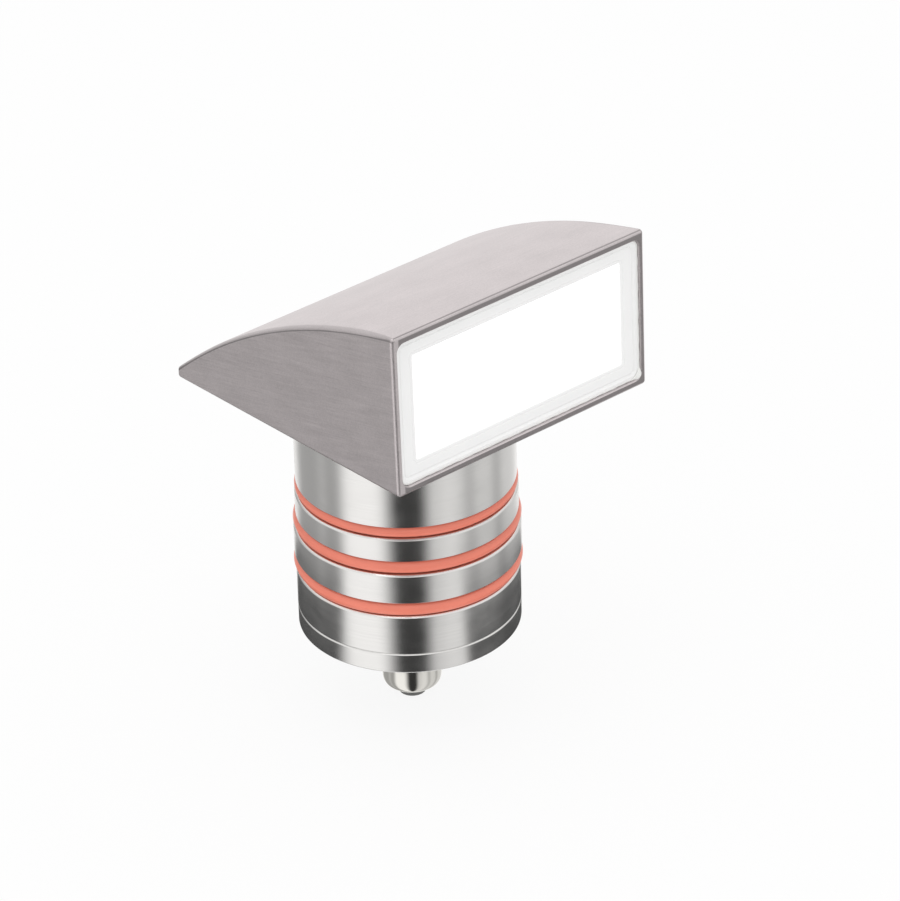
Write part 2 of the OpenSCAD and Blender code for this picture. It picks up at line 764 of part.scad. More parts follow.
// One lead: up through the neck, over a quarter bend and forward to the light board
module lead() {
    bend_z = lead_rise - lead_bend_r;
    plug_socket = lead_start + plug_size[2] / 2;
    translate([0, lead_y, plug_socket]) cylinder(d = lead_d, h = bend_z - plug_socket);
    translate([0, lead_y - lead_bend_r, bend_z]) rotate([90, 0, 90]) rotate_extrude(angle = 90)
        translate([lead_bend_r, 0]) circle(d = lead_d);
    translate([0, lead_y - lead_bend_r, lead_rise]) rotate([90, 0, 0])
        cylinder(d = lead_d, h = lead_y - lead_bend_r - lead_board_y);
}

module lead_wires() {
    color([0.8, 0.12, 0.1]) for (x = [-1, 1]) translate([x * lead_gap / 2, 0, 0]) lead();
}

module rear_cap() {
    spigot_inner_r = spigot_r - spigot_wall;
    color(polished) difference() {
        rotate_extrude() polygon([
            [gland_r + thread_gap, cap_bottom], [cap_r - machined_chamfer, cap_bottom],
            [cap_r, cap_bottom + machined_chamfer], [cap_r, seam_z - machined_chamfer - face_gap],
            [cap_r - machined_chamfer, seam_z - face_gap], [spigot_r, seam_z - face_gap],
            [spigot_r, seam_z + spigot_len - machined_chamfer],
            [spigot_r - machined_chamfer, seam_z + spigot_len], [spigot_inner_r, seam_z + spigot_len],
            [spigot_inner_r, seam_z - face_gap], [gland_r + thread_gap, seam_z - face_gap],
        ]);
        tube(spigot_r + cut, spigot_r - cap_cord, cap_ring_z - cap_groove_w / 2,
            cap_ring_z + cap_groove_w / 2);
        for (x = [-1, 1]) translate([x * pin_hole_r, 0, cap_bottom - cut])
            cylinder(d = pin_hole_d, h = pin_hole_depth + cut);
    }
}

module cap_seal() {
    color(coral) cord_ring(cap_ring_r, cap_cord - play, cap_ring_z);
}

module gland_body() {
    color(nickel) difference() {
        union() {
            translate([0, 0, gland_flange_z - cap_t / 2])
                cylinder(r = gland_r, h = washer_t + cap_t + gland_entry_over + cap_t / 2);
            hexagon(gland_flats, gland_hex_z, gland_flange_z);
            translate([0, 0, clamp_end]) cylinder(r = gland_r, h = clamp_thread_len + gland_hex_h / 2);
        }
        translate([0, 0, clamp_end - cut])
            cylinder(r = gland_bore_r, h = seam_z - clamp_end + gland_entry_over + 2 * cut);
        translate([0, 0, clamp_end - cut]) cylinder(r = seat_r, h = seat_top - clamp_end + cut);
    }
}

module gland_washer() {
    color(black) tube(washer_r, gland_r + play, gland_flange_z + face_gap, cap_bottom - face_gap);
}

module gland_claw() {
    finger_h = (claw_top - claw_bottom) * finger_share;
    color(black) difference() {
        tube(claw_r, claw_r - claw_wall, claw_bottom, claw_top);
        for (i = [1:claw_fingers]) rotate([0, 0, 360 * i / claw_fingers])
            translate([0, -finger_gap / 2, claw_bottom - cut])
                cube([claw_r + cut, finger_gap, finger_h + cut]);
    }
}

module gland_insert() {
    insert_bottom = nut_bottom - insert_reach;
    color([0.3, 0.3, 0.3]) difference() {
        union() {
            translate([0, 0, claw_bottom]) cylinder(r = insert_r, h = claw_top - claw_bottom);
            translate([0, 0, insert_bottom])
                cylinder(r = insert_nose_r, h = claw_bottom - insert_bottom + slip_t);
        }
        translate([0, 0, insert_bottom - cut])
            cylinder(d = cable_bore_d, h = claw_top - insert_bottom + 2 * cut);
    }
}

module gland_slip_ring() {
    color(white) tube(slip_r, slip_bore_r, slip_bottom, slip_top);
}

module gland_nut() {
    color(nickel) difference() {
        union() {
            hexagon(gland_flats, nut_top - nut_hex_h, nut_top);
            translate([0, 0, nut_bottom]) rotate_extrude() {
                square([dome_d / 2 - dome_edge_r, dome_h + nut_hex_h / 2]);
                translate([0, dome_edge_r]) square([dome_d / 2, dome_h - dome_edge_r + nut_hex_h / 2]);
                translate([dome_d / 2 - dome_edge_r, dome_edge_r]) circle(dome_edge_r);
            }
        }
        translate([0, 0, nut_chamber_top]) cylinder(r = gland_r + thread_gap, h = nut_hex_h + cut);
        translate([0, 0, nut_shoulder_z])
            cylinder(r = nut_chamber_r, h = nut_chamber_top - nut_shoulder_z + cut);
        translate([0, 0, nut_bottom - cut]) cylinder(r = nut_mouth_r, h = dome_h + 2 * cut);
    }
}

hood_shell();
lens_frame();
lens_seal();
diffuser_panel();
light_chamber();
light_board();
light_emitters();
light_board_screws();
thermal_pad();
heat_spreader();
spreader_screws();
hood_locknut();
shoulder_seal();
canister_body();
o_ring_top();
o_ring_middle();
o_ring_bottom();
driver_cradle();
cradle_screws();
insulating_liner();
driver_board();
smoothing_capacitors();
inductor();
driver_chips();
output_plug();
input_terminal();
terminal_screws();
lead_wires();
rear_cap();
cap_seal();
gland_body();
gland_washer();
gland_claw();
gland_insert();
gland_slip_ring();
gland_nut();
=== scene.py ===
"""A recessed step light: an arched steel hood with a lit window, on a round canister with three sealing
rings, a screwed end cap and a metal cable gland. Sizes are in millimetres and become metres when a mesh
is made.
"""
import logging
import math
from collections.abc import Iterable, Sequence
from dataclasses import dataclass, field, replace
from enum import Enum

import bmesh
import bpy
from mathutils import Matrix, Vector


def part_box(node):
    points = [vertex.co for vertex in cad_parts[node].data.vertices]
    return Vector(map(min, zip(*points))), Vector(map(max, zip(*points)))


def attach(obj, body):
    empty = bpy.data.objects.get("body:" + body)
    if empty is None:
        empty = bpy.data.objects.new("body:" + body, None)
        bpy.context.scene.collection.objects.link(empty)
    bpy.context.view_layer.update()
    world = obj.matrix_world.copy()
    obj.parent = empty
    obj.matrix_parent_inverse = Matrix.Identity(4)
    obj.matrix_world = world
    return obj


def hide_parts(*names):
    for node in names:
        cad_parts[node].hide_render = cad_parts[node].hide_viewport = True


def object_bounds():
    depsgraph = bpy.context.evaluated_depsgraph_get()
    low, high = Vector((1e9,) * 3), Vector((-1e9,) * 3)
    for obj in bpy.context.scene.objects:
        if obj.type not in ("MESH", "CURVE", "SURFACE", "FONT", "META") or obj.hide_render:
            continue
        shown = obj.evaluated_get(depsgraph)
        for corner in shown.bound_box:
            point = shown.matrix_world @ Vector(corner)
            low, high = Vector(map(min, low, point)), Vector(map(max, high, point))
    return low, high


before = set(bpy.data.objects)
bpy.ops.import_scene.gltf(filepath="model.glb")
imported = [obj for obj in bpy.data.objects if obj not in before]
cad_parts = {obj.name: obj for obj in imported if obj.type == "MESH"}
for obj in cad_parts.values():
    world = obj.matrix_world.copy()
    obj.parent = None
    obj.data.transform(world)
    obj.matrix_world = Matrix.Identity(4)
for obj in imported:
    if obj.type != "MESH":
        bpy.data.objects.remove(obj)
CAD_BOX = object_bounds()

LOG = logging.getLogger("step_light")

MM = 0.001
FULL_TURN = 2 * math.pi
WHITE = (1.0, 1.0, 1.0, 1.0)

# Shading: edges sharper than this stay sharp, and flat faces count this much more than narrow ones.
SHARP_ANGLE = math.radians(32)
FLAT_WEIGHT = 90

# Meshes: how near vertices are welded, how short an edge is dropped, how far a cutter reaches past what it
# cuts, and the largest share of a side that a rounding takes.
WELD = 1e-5
SLIVER = 1e-6
OVERRUN = 1.0
ROUNDING_SHARE = 0.45

# Screw threads: the pitch, the steps in a turn and the fewest in a stretch, the turns in which a thread
# fades in or out, and the depth of its wave in a root and how fast that lessens towards a crest.
THREAD_PITCH = 1.5
THREAD_STEPS = 10
THREAD_FEWEST_STEPS = 4
THREAD_FADE_TURNS = 0.5
THREAD_ROOT_DEPTH = 1.15
THREAD_FLANK_SLOPE = 1.3

Point2 = tuple[float, float]
Point3 = tuple[float, float, float]
Colour = tuple[float, float, float]
Node = bpy.types.Node
Socket = bpy.types.NodeSocket
Input = Socket | float | tuple[float, ...]
Piece = bpy.types.Object


class Body(str, Enum):
    """The bodies that pieces ride on."""

    ROOT = "root"
    CAP_THREAD = "cap_thread"
    CAP = "cap"
    NUT_THREAD = "nut_thread"
    NUT = "nut"


class Slot(str, Enum):
    """The record's material slots."""

    HOOD_STEEL = "hood_steel"
    CANISTER_STEEL = "canister_steel"
    LENS_BORDER = "lens_border"
    WINDOW = "window"
    WHITE_SILICONE = "white_silicone"
    WHITE_PLASTIC = "white_plastic"
    BOARD_WHITE = "board_white"
    EMITTER = "emitter"
    SCREW_STEEL = "screw_steel"
    ALLOY = "alloy"
    THERMAL_PAD = "thermal_pad"
    RING_CORAL = "ring_coral"
    BLACK_PLASTIC = "black_plastic"
    LINER_FILM = "liner_film"
    BOARD_GREEN = "board_green"
    CAPACITOR_SLEEVE = "capacitor_sleeve"
    COPPER_WINDING = "copper_winding"
    TERMINAL_GREEN = "terminal_green"
    LEAD_RED = "lead_red"
    NICKEL = "nickel"
    GLAND_RUBBER = "gland_rubber"


class Cut(Enum):
    """What a cutter leaves of a piece: what lies outside the cutter, or what lies inside it."""

    OUTSIDE = "DIFFERENCE"
    INSIDE = "INTERSECT"


class Mixed(Enum):
    """What a mix node blends: its name there, and the numbers of its first input and of its output."""

    NUMBERS = ("FLOAT", 2, 0)
    VECTORS = ("VECTOR", 4, 1)
    COLOURS = ("RGBA", 6, 2)


class Glow(Enum):
    """The shaders that give light: a surface's and the studio's."""

    SURFACE = "Emission"
    STUDIO = "Background"


class Output(Enum):
    """Where a shader ends up: in a material or in the world."""

    MATERIAL = "OutputMaterial"
    WORLD = "OutputWorld"


@dataclass(frozen=True)
class Band:
    """A range of a value with soft ends: a step up over its first two numbers, and down over the others."""

    rise_start: float
    rise_end: float
    fall_start: float
    fall_end: float


class Graph:
    """A node tree in the making, with short calls for nodes and their links."""

    NOISE_LOW = 0.3
    NOISE_HIGH = 0.7

    def __init__(self, owner: bpy.types.Material | bpy.types.World) -> None:
        """Start from the owner's own tree, emptied."""
        owner.use_nodes = True
        self.tree = owner.node_tree
        self.tree.nodes.clear()

    def feed(self, socket: Socket, value: Input) -> None:
        """Link a socket to another one, or give it a plain value.

        Args:
            socket: the input to fill.
            value: an output socket, a number, a vector or a colour.
        """
        if isinstance(value, Socket):
            self.tree.links.new(value, socket)
        else:
            socket.default_value = value

    def add(self, kind: str, inputs: dict[str | int, Input] | None = None, **settings: object) -> Node:
        """Add a shader node.

        Args:
            kind: the node's type, without its ShaderNode prefix.
            inputs: values or output sockets for its inputs, by name or number.
            settings: values for its properties.

        Returns:
            The new node.
        """
        node = self.tree.nodes.new(f"ShaderNode{kind}")
        for name, value in settings.items():
            setattr(node, name, value)
        for name, value in (inputs or {}).items():
            self.feed(node.inputs[name], value)
        return node

    def math(self, operation: str, first: Input, second: Input = 0.0) -> Socket:
        """Combine two numbers and return the result's socket."""
        return self.add("Math", {0: first, 1: second}, operation=operation).outputs[0]

    def times(self, product: Input, *factors: Input) -> Socket:
        """Multiply numbers.

        Args:
            product: the first number.
            factors: the others.

        Returns:
            The product's socket.
        """
        for factor in factors:
            product = self.math("MULTIPLY", product, factor)
        return product

    def place(self, output: str = "Object") -> Socket:
        """Return one output of a texture coordinate node."""
        return self.add("TexCoord").outputs[output]

    def split(self, vector: Socket) -> tuple[Socket, ...]:
        """Return a vector's X, Y and Z."""
        return tuple(self.add("SeparateXYZ", {0: vector}).outputs)

    def from_axis(self, place: Socket) -> Socket:
        """Return how far a place is from the Z axis."""
        flat = self.add("VectorMath", {0: place, 1: (1, 1, 0)}, operation="MULTIPLY").outputs[0]
        return self.add("VectorMath", {0: flat}, operation="LENGTH").outputs["Value"]

    def stretch(self, place: Socket, sizes: Point3) -> Socket:
        """Scale a place so that one unit is one grain of the given sizes.

        Args:
            place: the place in metres.
            sizes: the grain's size along X, Y and Z in millimetres.

        Returns:
            The scaled place.
        """
        scale = tuple(1 / (MM * s) for s in sizes)
        return self.add("Mapping", {"Vector": place, "Scale": scale}).outputs[0]

    def noise(self, place: Socket, detail: float = 2.0) -> Socket:
        """Return a noise value for a place that is scaled to its grain."""
        return self.add("TexNoise", {"Vector": place, "Scale": 1.0, "Detail": detail}).outputs[0]

    def grain(self, place: Socket, size: float, detail: float = 2.0) -> Socket:
        """Return a noise value for a place in metres, with its grain's size in millimetres."""
        return self.noise(self.stretch(place, (size,) * 3), detail)

    def spread(self, value: Socket, low: float, high: float) -> Socket:
        """Map the middle of a noise value's range onto low to high."""
        limits = {"From Min": self.NOISE_LOW, "From Max": self.NOISE_HIGH, "To Min": low, "To Max": high}
        return self.add("MapRange", {"Value": value, **limits}).outputs[0]

    def mix(self, what: Mixed, share: Socket, first: Input, second: Input) -> Socket:
        """Blend two values.

        Args:
            what: whether they are numbers, vectors or colours.
            share: how much there is of the second, from 0 to 1.
            first: the first value.
            second: the second value.

        Returns:
            The blend's socket.
        """
        name, number, output = what.value
        inputs = {"Factor": share, number: first, number + 1: second}
        return self.add("Mix", inputs, data_type=name).outputs[output]

    def tint(self, value: Socket, colour: Colour, share: float) -> Socket:
        """Vary a colour's lightness by a share of itself.

        Args:
            value: the noise that drives the change.
            colour: the colour in the middle of the range.
            share: how far it goes down and up.

        Returns:
            The varied colour.
        """
        dark = (*(c * (1 - share) for c in colour), 1.0)
        light = (*(min(1.0, c * (1 + share)) for c in colour), 1.0)
        return self.mix(Mixed.COLOURS, self.spread(value, 0.0, 1.0), dark, light)

    def ramp(self, value: Socket, start: float, end: float) -> Socket:
        """Return 0 at start and 1 at end, which may lie below start, with a soft step between them."""
        limits = {"Value": value, "From Min": start, "From Max": end}
        return self.add("MapRange", limits, interpolation_type="SMOOTHSTEP").outputs[0]

    def band(self, value: Socket, band: Band) -> Socket:
        """Return 1 inside a band and 0 outside it, with a soft step at each end."""
        falling = self.ramp(value, band.fall_end, band.fall_start)
        return self.times(self.ramp(value, band.rise_start, band.rise_end), falling)

    def dimmed(self, colour: Socket, share: Socket) -> Socket:
        """Take a share of its lightness from a colour."""
        kept = self.math("SUBTRACT", 1.0, share)
        return self.add("VectorMath", {0: colour, "Scale": kept}, operation="SCALE").outputs[0]

    def relief(self, shader: Node, height: Socket, depth: float) -> None:
        """Give a shader's surface a relief whose depth is in millimetres."""
        bump = self.add("Bump", {"Height": height, "Distance": depth * MM, "Strength": 1.0})
        self.feed(shader.inputs["Normal"], bump.outputs[0])

    def glow(self, kind: Glow, strength: Input, colour: tuple[float, ...] = WHITE) -> Node:
        """Add a shader that gives light."""
        return self.add(kind.value, {"Color": colour, "Strength": strength})

    def over(self, share: Socket, first: Node, second: Node) -> Node:
        """Mix two shaders, with as much of the second as the share says."""
        return self.add("MixShader", {0: share, 1: first.outputs[0], 2: second.outputs[0]})

    def show(self, shader: Node, output: Output = Output.MATERIAL) -> None:
        """Make a shader the surface of the material, or the world's light."""
        self.feed(self.add(output.value).inputs["Surface"], shader.outputs[0])


@dataclass(frozen=True)
class Finish:
    """A finish: its slot, its colour, how rough and metallic it is, and its fine grain and faint clouds."""

    slot: Slot
    colour: Colour
    roughness: float
    metallic: float = 0.0
    grain: float = 0.35
    grain_depth: float = 0.004
    shade_share: float = 0.03
    rough_spread: float = 0.05
    cloud_grains: float = 18.0
    cloud_detail: float = 3.0

    @property
    def rough_range(self) -> Point2:
        """The roughness where the value that varies it is low, and where it is high."""
        return self.roughness - self.rough_spread, self.roughness + self.rough_spread

    def material(self) -> bpy.types.Material:
        """Make the material, or take the one made before.

        Returns:
            The material.
        """
        name = f"{self.slot.value}_finish"
        made = bpy.data.materials.get(name)
        if made is None:
            made = bpy.data.materials.new(name)
            graph = Graph(made)
            shader = graph.add("BsdfPrincipled", {"Metallic": self.metallic, "Roughness": self.roughness})
            graph.show(shader)
            self.detail(graph, shader)
        return made

    def detail(self, graph: Graph, shader: Node) -> None:
        """Give the shader its clouds in colour, and its grain in roughness and relief.

        Args:
            graph: the material's graph.
            shader: its principled shader.
        """
        place = graph.place()
        fine = graph.grain(place, self.grain)
        clouds = graph.grain(place, self.grain * self.cloud_grains, self.cloud_detail)
        self.paint(graph, shader, graph.tint(clouds, self.colour, self.shade_share), fine, fine)

    def paint(self, graph: Graph, shader: Node, colour: Socket, rough: Socket, height: Socket) -> None:
        """Give the shader its colour, its varied roughness and its relief.

        Args:
            graph: the material's graph.
            shader: its principled shader.
            colour: the surface's colour.
            rough: the value that varies the roughness.
            height: the relief's height.
        """
        graph.feed(shader.inputs["Base Color"], colour)
        graph.feed(shader.inputs["Roughness"], graph.spread(rough, *self.rough_range))
        graph.relief(shader, height, self.grain_depth)

    def dress(self, piece: Piece) -> None:
        """Put the material on a piece, in place of what it has.

        Args:
            piece: the piece.
        """
        if not piece.material_slots:
            piece.data.materials.append(self.material())
        for slot in piece.material_slots:
            slot.material = self.material()


@dataclass(frozen=True)
class BrushedSteel(Finish):
    """Satin steel, brushed across on the top and rim and lengthwise on the cheeks.

    The rim, the cheeks and the softened edges are told apart by how far a surface faces forward, aside
    or up, from 0 to 1. The rim face, the softened arch and thin lines where the softened edges begin get
    painted shade, which stands in for dark reflections.
    """

    line_length: float = 9.0
    line_width: float = 0.2
    line_detail: float = 3.0
    line_share: float = 0.45
    cloud: float = 9.0
    cloud_share: float = 0.2
    speckle: float = 0.3
    speckle_detail: float = 1.0
    speckle_share: float = 0.35
    cheek_facing: float = 0.7
    cheek_tilt: float = 12.0
    rim_facing: Point2 = (0.93, 0.985)
    # painted shade: the forward-facing rim face is darkened, standing in for the dark reflection it shows
    rim_painted_shade: float = 0.5
    near_rim_end: float = -33.7
    near_rim_fade: float = 0.3
    # painted shade: thin dark lines on the top's front edge and along the arch, where the softened edges
    # begin, standing in for dark reflections
    painted_line_shade: float = 0.45
    front_painted_line: Band = Band(0.26, 0.38, 0.56, 0.68)
    front_painted_line_end: Point2 = (0.5, 0.2)
    arch_painted_line: Band = Band(0.72, 0.86, 0.98, 0.998)
    # painted shade: the softened arch edge is dimmed to a mid-grey band where it faces up
    arch_painted_shade: float = 0.2
    arch_edge: Band = Band(0.06, 0.2, 0.8, 0.98)
    upward: Point2 = (0.02, 0.1)

    def detail(self, graph: Graph, shader: Node) -> None:
        """Draw the brushing lines in colour, roughness and relief, over broad clouds.

        Args:
            graph: the material's graph.
            shader: its principled shader.
        """
        place = graph.place()
        long, thin = self.line_length, self.line_width
        tilt = (math.radians(self.cheek_tilt), 0, 0)
        tilted = graph.add("Mapping", {"Vector": place, "Rotation": tilt}).outputs[0]
        facing = graph.split(graph.place("Normal"))
        on_cheek = graph.math("GREATER_THAN", graph.math("ABSOLUTE", facing[0]), self.cheek_facing)
        across = graph.stretch(place, (long, thin, thin))
        lengthwise = graph.stretch(tilted, (thin, long, thin))
        lines = graph.noise(graph.mix(Mixed.VECTORS, on_cheek, across, lengthwise), self.line_detail)
        clouds = graph.grain(place, self.cloud, self.cloud_detail)
        speckles = graph.grain(place, self.speckle, self.speckle_detail)
        mixed = graph.times(lines, self.line_share)
        for layer, share in ((clouds, self.cloud_share), (speckles, self.speckle_share)):
            mixed = graph.math("ADD", mixed, graph.times(layer, share))
        brushed = graph.tint(mixed, self.colour, self.shade_share)
        # painted shade: the brushed colour is dimmed on the rim face, the softened arch and thin lines at
        # the edges
        self.paint(graph, shader, graph.dimmed(brushed, self.painted_edge_shade(graph, place, facing)), lines, lines)

    def painted_edge_shade(self, graph: Graph, place: Socket, facing: tuple[Socket, ...]) -> Socket:
        """Return the painted shade: the rim face darker, a mid-grey softened arch, thin dark lines where the
        softened edges begin.

        Args:
            graph: the material's graph.
            place: the place on the surface.
            facing: the X, Y and Z of the surface's direction.

        Returns:
            The share of lightness that is lost.
        """
        forward = graph.times(facing[1], -1.0)
        aside = graph.math("ABSOLUTE", facing[0])
        upward = graph.ramp(facing[2], *self.upward)
        # painted shade on the rim face, which fades out towards the near end of the rim
        fade_start, fade_end = self.near_rim_end * MM, (self.near_rim_end + self.near_rim_fade) * MM
        rim_loss = graph.times(graph.ramp(graph.split(place)[0], fade_start, fade_end), self.rim_painted_shade)
        rim = graph.times(graph.ramp(forward, *self.rim_facing), rim_loss)
        # painted shade: thin dark lines where the softened edges begin
        front_painted_line = graph.times(graph.band(forward, self.front_painted_line),
                                   graph.ramp(aside, *self.front_painted_line_end))
        arch_painted_line = graph.times(graph.band(aside, self.arch_painted_line), upward)
        painted_lines = graph.times(graph.math("MAXIMUM", front_painted_line, arch_painted_line), self.painted_line_shade)
        # painted shade on the upward-facing softened arch
        arch_loss = graph.times(upward, self.arch_painted_shade)
        softened_arch = graph.times(graph.band(aside, self.arch_edge), arch_loss)
        return graph.math("ADD", rim, graph.math("MAXIMUM", painted_lines, softened_arch))


@dataclass(frozen=True)
class TurnedSteel(Finish):
    """Polished steel with a lathe's fine circles round the axis, which draw reflections out along it."""

    circle_width: float = 0.16
    smudge: Point3 = (7.0, 7.0, 3.5)
    stretch_share: float = 0.75
    quarter_turn: float = 0.25

    def detail(self, graph: Graph, shader: Node) -> None:
        """Draw the tool's circles and set the drawn-out reflections.

        Args:
            graph: the material's graph.
            shader: its principled shader.
        """
        place = graph.place()
        section = graph.add("CombineXYZ", {0: graph.from_axis(place), 1: graph.split(place)[2]}).outputs[0]
        circles = graph.grain(section, self.circle_width)
        smudges = graph.noise(graph.stretch(place, self.smudge), self.cloud_detail)
        self.paint(graph, shader, graph.tint(circles, self.colour, self.shade_share), smudges, circles)
        shader.inputs["Anisotropic"].default_value = self.stretch_share
        shader.inputs["Anisotropic Rotation"].default_value = self.quarter_turn
        tangent = graph.add("Tangent", direction_type="RADIAL", axis="Z")
        graph.feed(shader.inputs["Tangent"], tangent.outputs[0])


@dataclass(frozen=True)
class LitOpal(Finish):
    """Opal plastic lit evenly from behind."""

    glow: float = 1.0
    light: Colour = (0.99, 0.99, 0.99)
    light_cloud: float = 9.0
    light_share: float = 0.01

    def detail(self, graph: Graph, shader: Node) -> None:
        """Give the even glow and a trace of grain.

        Args:
            graph: the material's graph.
            shader: its principled shader.
        """
        super().detail(graph, shader)
        shader.inputs["Emission Strength"].default_value = self.glow
        clouds = graph.grain(graph.place(), self.light_cloud)
        graph.feed(shader.inputs["Emission Color"], graph.tint(clouds, self.light, self.light_share))


@dataclass(frozen=True)
class CircuitBoard(Finish):
    """Solder mask over copper: lighter, rougher and raised tracks in square patches."""

    grain_depth: float = 0.03
    shade_share: float = 0.25
    track: float = 1.6
    track_edge: Point2 = (0.36, 0.42)
    track_roughness: float = 0.08

    @property
    def rough_range(self) -> Point2:
        """The roughness beside the tracks and on them."""
        return self.roughness, self.roughness + self.track_roughness

    def detail(self, graph: Graph, shader: Node) -> None:
        """Draw the tracks.

        Args:
            graph: the material's graph.
            shader: its principled shader.
        """
        place = graph.stretch(graph.place(), (self.track,) * 3)
        cells = graph.add("TexVoronoi", {"Vector": place, "Scale": 1.0}, distance="CHEBYCHEV")
        start, end = self.track_edge
        edge = {"Value": cells.outputs["Distance"], "From Min": start, "From Max": end}
        tracks = graph.add("MapRange", edge).outputs[0]
        self.paint(graph, shader, graph.tint(tracks, self.colour, self.shade_share), tracks, tracks)


@dataclass(frozen=True)
class WoundWire(Finish):
    """Enamelled wire wound round a ring that stands upright."""

    grain_depth: float = 0.2
    # shade_share here sets the painted shade between the turns and the painted highlight along them
    shade_share: float = 0.45
    centre: Point3 = (0.0, 0.0, 0.0)
    turns: int = 26
    gap_roughness: float = 0.1

    @property
    def rough_range(self) -> Point2:
        """The roughness between the turns and on them."""
        return self.roughness + self.gap_roughness, self.roughness

    def detail(self, graph: Graph, shader: Node) -> None:
        """Draw the turns side by side round the ring, with painted shade between them and painted highlight
        along them.

        Args:
            graph: the material's graph.
            shader: its principled shader.
        """
        centre = tuple(c * MM for c in self.centre)
        away = graph.add("VectorMath", {0: graph.place(), 1: centre}, operation="SUBTRACT").outputs[0]
        x, _, z = graph.split(away)
        wave = graph.math("SINE", graph.times(graph.math("ARCTAN2", z, x), float(self.turns)))
        turns = graph.math("ABSOLUTE", wave)
        # painted shade and highlight: the colour is darker between the turns and lighter along them
        self.paint(graph, shader, graph.tint(turns, self.colour, self.shade_share), turns, turns)


HOOD_STEEL = BrushedSteel(Slot.HOOD_STEEL, (0.655, 0.61, 0.618), roughness=0.46, metallic=1.0,
                          grain_depth=0.005, shade_share=0.15, rough_spread=0.07)
CANISTER_STEEL = TurnedSteel(Slot.CANISTER_STEEL, (0.78, 0.775, 0.765), roughness=0.24, metallic=1.0,
                             grain_depth=0.0004, rough_spread=0.03)
LENS_BORDER = Finish(Slot.LENS_BORDER, (0.95, 0.95, 0.945), roughness=0.38, grain=0.5, grain_depth=0.003,
                     shade_share=0.01)
WINDOW = LitOpal(Slot.WINDOW, (0.9, 0.9, 0.9), roughness=0.3, grain=0.6, grain_depth=0.002,
                 shade_share=0.01, glow=0.9)
WHITE_SILICONE = Finish(Slot.WHITE_SILICONE, (0.84, 0.84, 0.82), roughness=0.5, grain=0.9, grain_depth=0.02)
WHITE_PLASTIC = Finish(Slot.WHITE_PLASTIC, (0.84, 0.84, 0.82), roughness=0.42, grain=0.4, grain_depth=0.003)
BOARD_WHITE = CircuitBoard(Slot.BOARD_WHITE, (0.8, 0.8, 0.77), roughness=0.4)
EMITTER = Finish(Slot.EMITTER, (0.93, 0.7, 0.16), roughness=0.25, grain=0.2)
SCREW_STEEL = Finish(Slot.SCREW_STEEL, (0.58, 0.58, 0.59), roughness=0.32, metallic=1.0, grain=0.25,
                     grain_depth=0.002)
ALLOY = Finish(Slot.ALLOY, (0.62, 0.63, 0.65), roughness=0.42, metallic=1.0, grain=0.3, grain_depth=0.006)
THERMAL_PAD = Finish(Slot.THERMAL_PAD, (0.3, 0.36, 0.46), roughness=0.8, grain=0.25, grain_depth=0.02,
                     shade_share=0.08)
RING_CORAL = Finish(Slot.RING_CORAL, (0.92, 0.25, 0.17), roughness=0.3, grain=0.4, grain_depth=0.0004,
                    rough_spread=0.02)
BLACK_PLASTIC = Finish(Slot.BLACK_PLASTIC, (0.025, 0.025, 0.028), roughness=0.45, grain=0.3,
                       grain_depth=0.01)
LINER_FILM = Finish(Slot.LINER_FILM, (0.72, 0.7, 0.55), roughness=0.3, grain=2.0, grain_depth=0.01)
BOARD_GREEN = CircuitBoard(Slot.BOARD_GREEN, (0.02, 0.16, 0.07), roughness=0.35)
CAPACITOR_SLEEVE = Finish(Slot.CAPACITOR_SLEEVE, (0.012, 0.02, 0.07), roughness=0.28, grain=1.2,
                          grain_depth=0.01)
COPPER_WINDING = WoundWire(Slot.COPPER_WINDING, (0.45, 0.17, 0.05), roughness=0.3, metallic=0.9)
TERMINAL_GREEN = Finish(Slot.TERMINAL_GREEN, (0.05, 0.24, 0.1), roughness=0.4, grain_depth=0.006)
LEAD_RED = Finish(Slot.LEAD_RED, (0.45, 0.015, 0.012), roughness=0.35, grain=0.3)
NICKEL = Finish(Slot.NICKEL, (0.78, 0.77, 0.73), roughness=0.12, metallic=1.0, grain=0.6, grain_depth=0.0002,
                shade_share=0.02, rough_spread=0.015)
GLAND_RUBBER = Finish(Slot.GLAND_RUBBER, (0.2, 0.2, 0.195), roughness=0.6, grain=0.3, grain_depth=0.01,
                      shade_share=0.06)


def arc(centre: Point2, radius: float, start: float, end: float, steps: int) -> list[Point2]:
    """Return points along an arc.

    Args:
        centre: the arc's centre.
        radius: its radius.
        start: the angle of its first point, in radians.
        end: the angle of its last point.
        steps: how many steps lie between them.

    Returns:
        The points, both ends included.
    """
    angles = [start + (end - start) * i / steps for i in range(steps + 1)]
    return [(centre[0] + radius * math.cos(a), centre[1] + radius * math.sin(a)) for a in angles]


def circle(radius: float, x: float = 0.0, y: float = 0.0, segments: int = 96) -> list[Point2]:
    """Return points round a circle."""
    return arc((x, y), radius, 0.0, FULL_TURN * (1 - 1 / segments), segments - 1)


def round_rectangle(width: float, height: float, radius: float, middle: float,
                    steps: int = 8) -> list[Point2]:
    """Return the outline of a rectangle with round corners, across X and up.

    Args:
        width: its full width.
        height: its full height.
        radius: its corner radius.
        middle: the height of its middle.
        steps: how many steps each corner has.

    Returns:
        The points, counter-clockwise from the right.
    """
    points: list[Point2] = []
    for quarter, (x, z) in enumerate(((1, 1), (-1, 1), (-1, -1), (1, -1))):
        corner = (x * (width / 2 - radius), middle + z * (height / 2 - radius))
        points += arc(corner, radius, quarter * math.pi / 2, (quarter + 1) * math.pi / 2, steps)
    return points


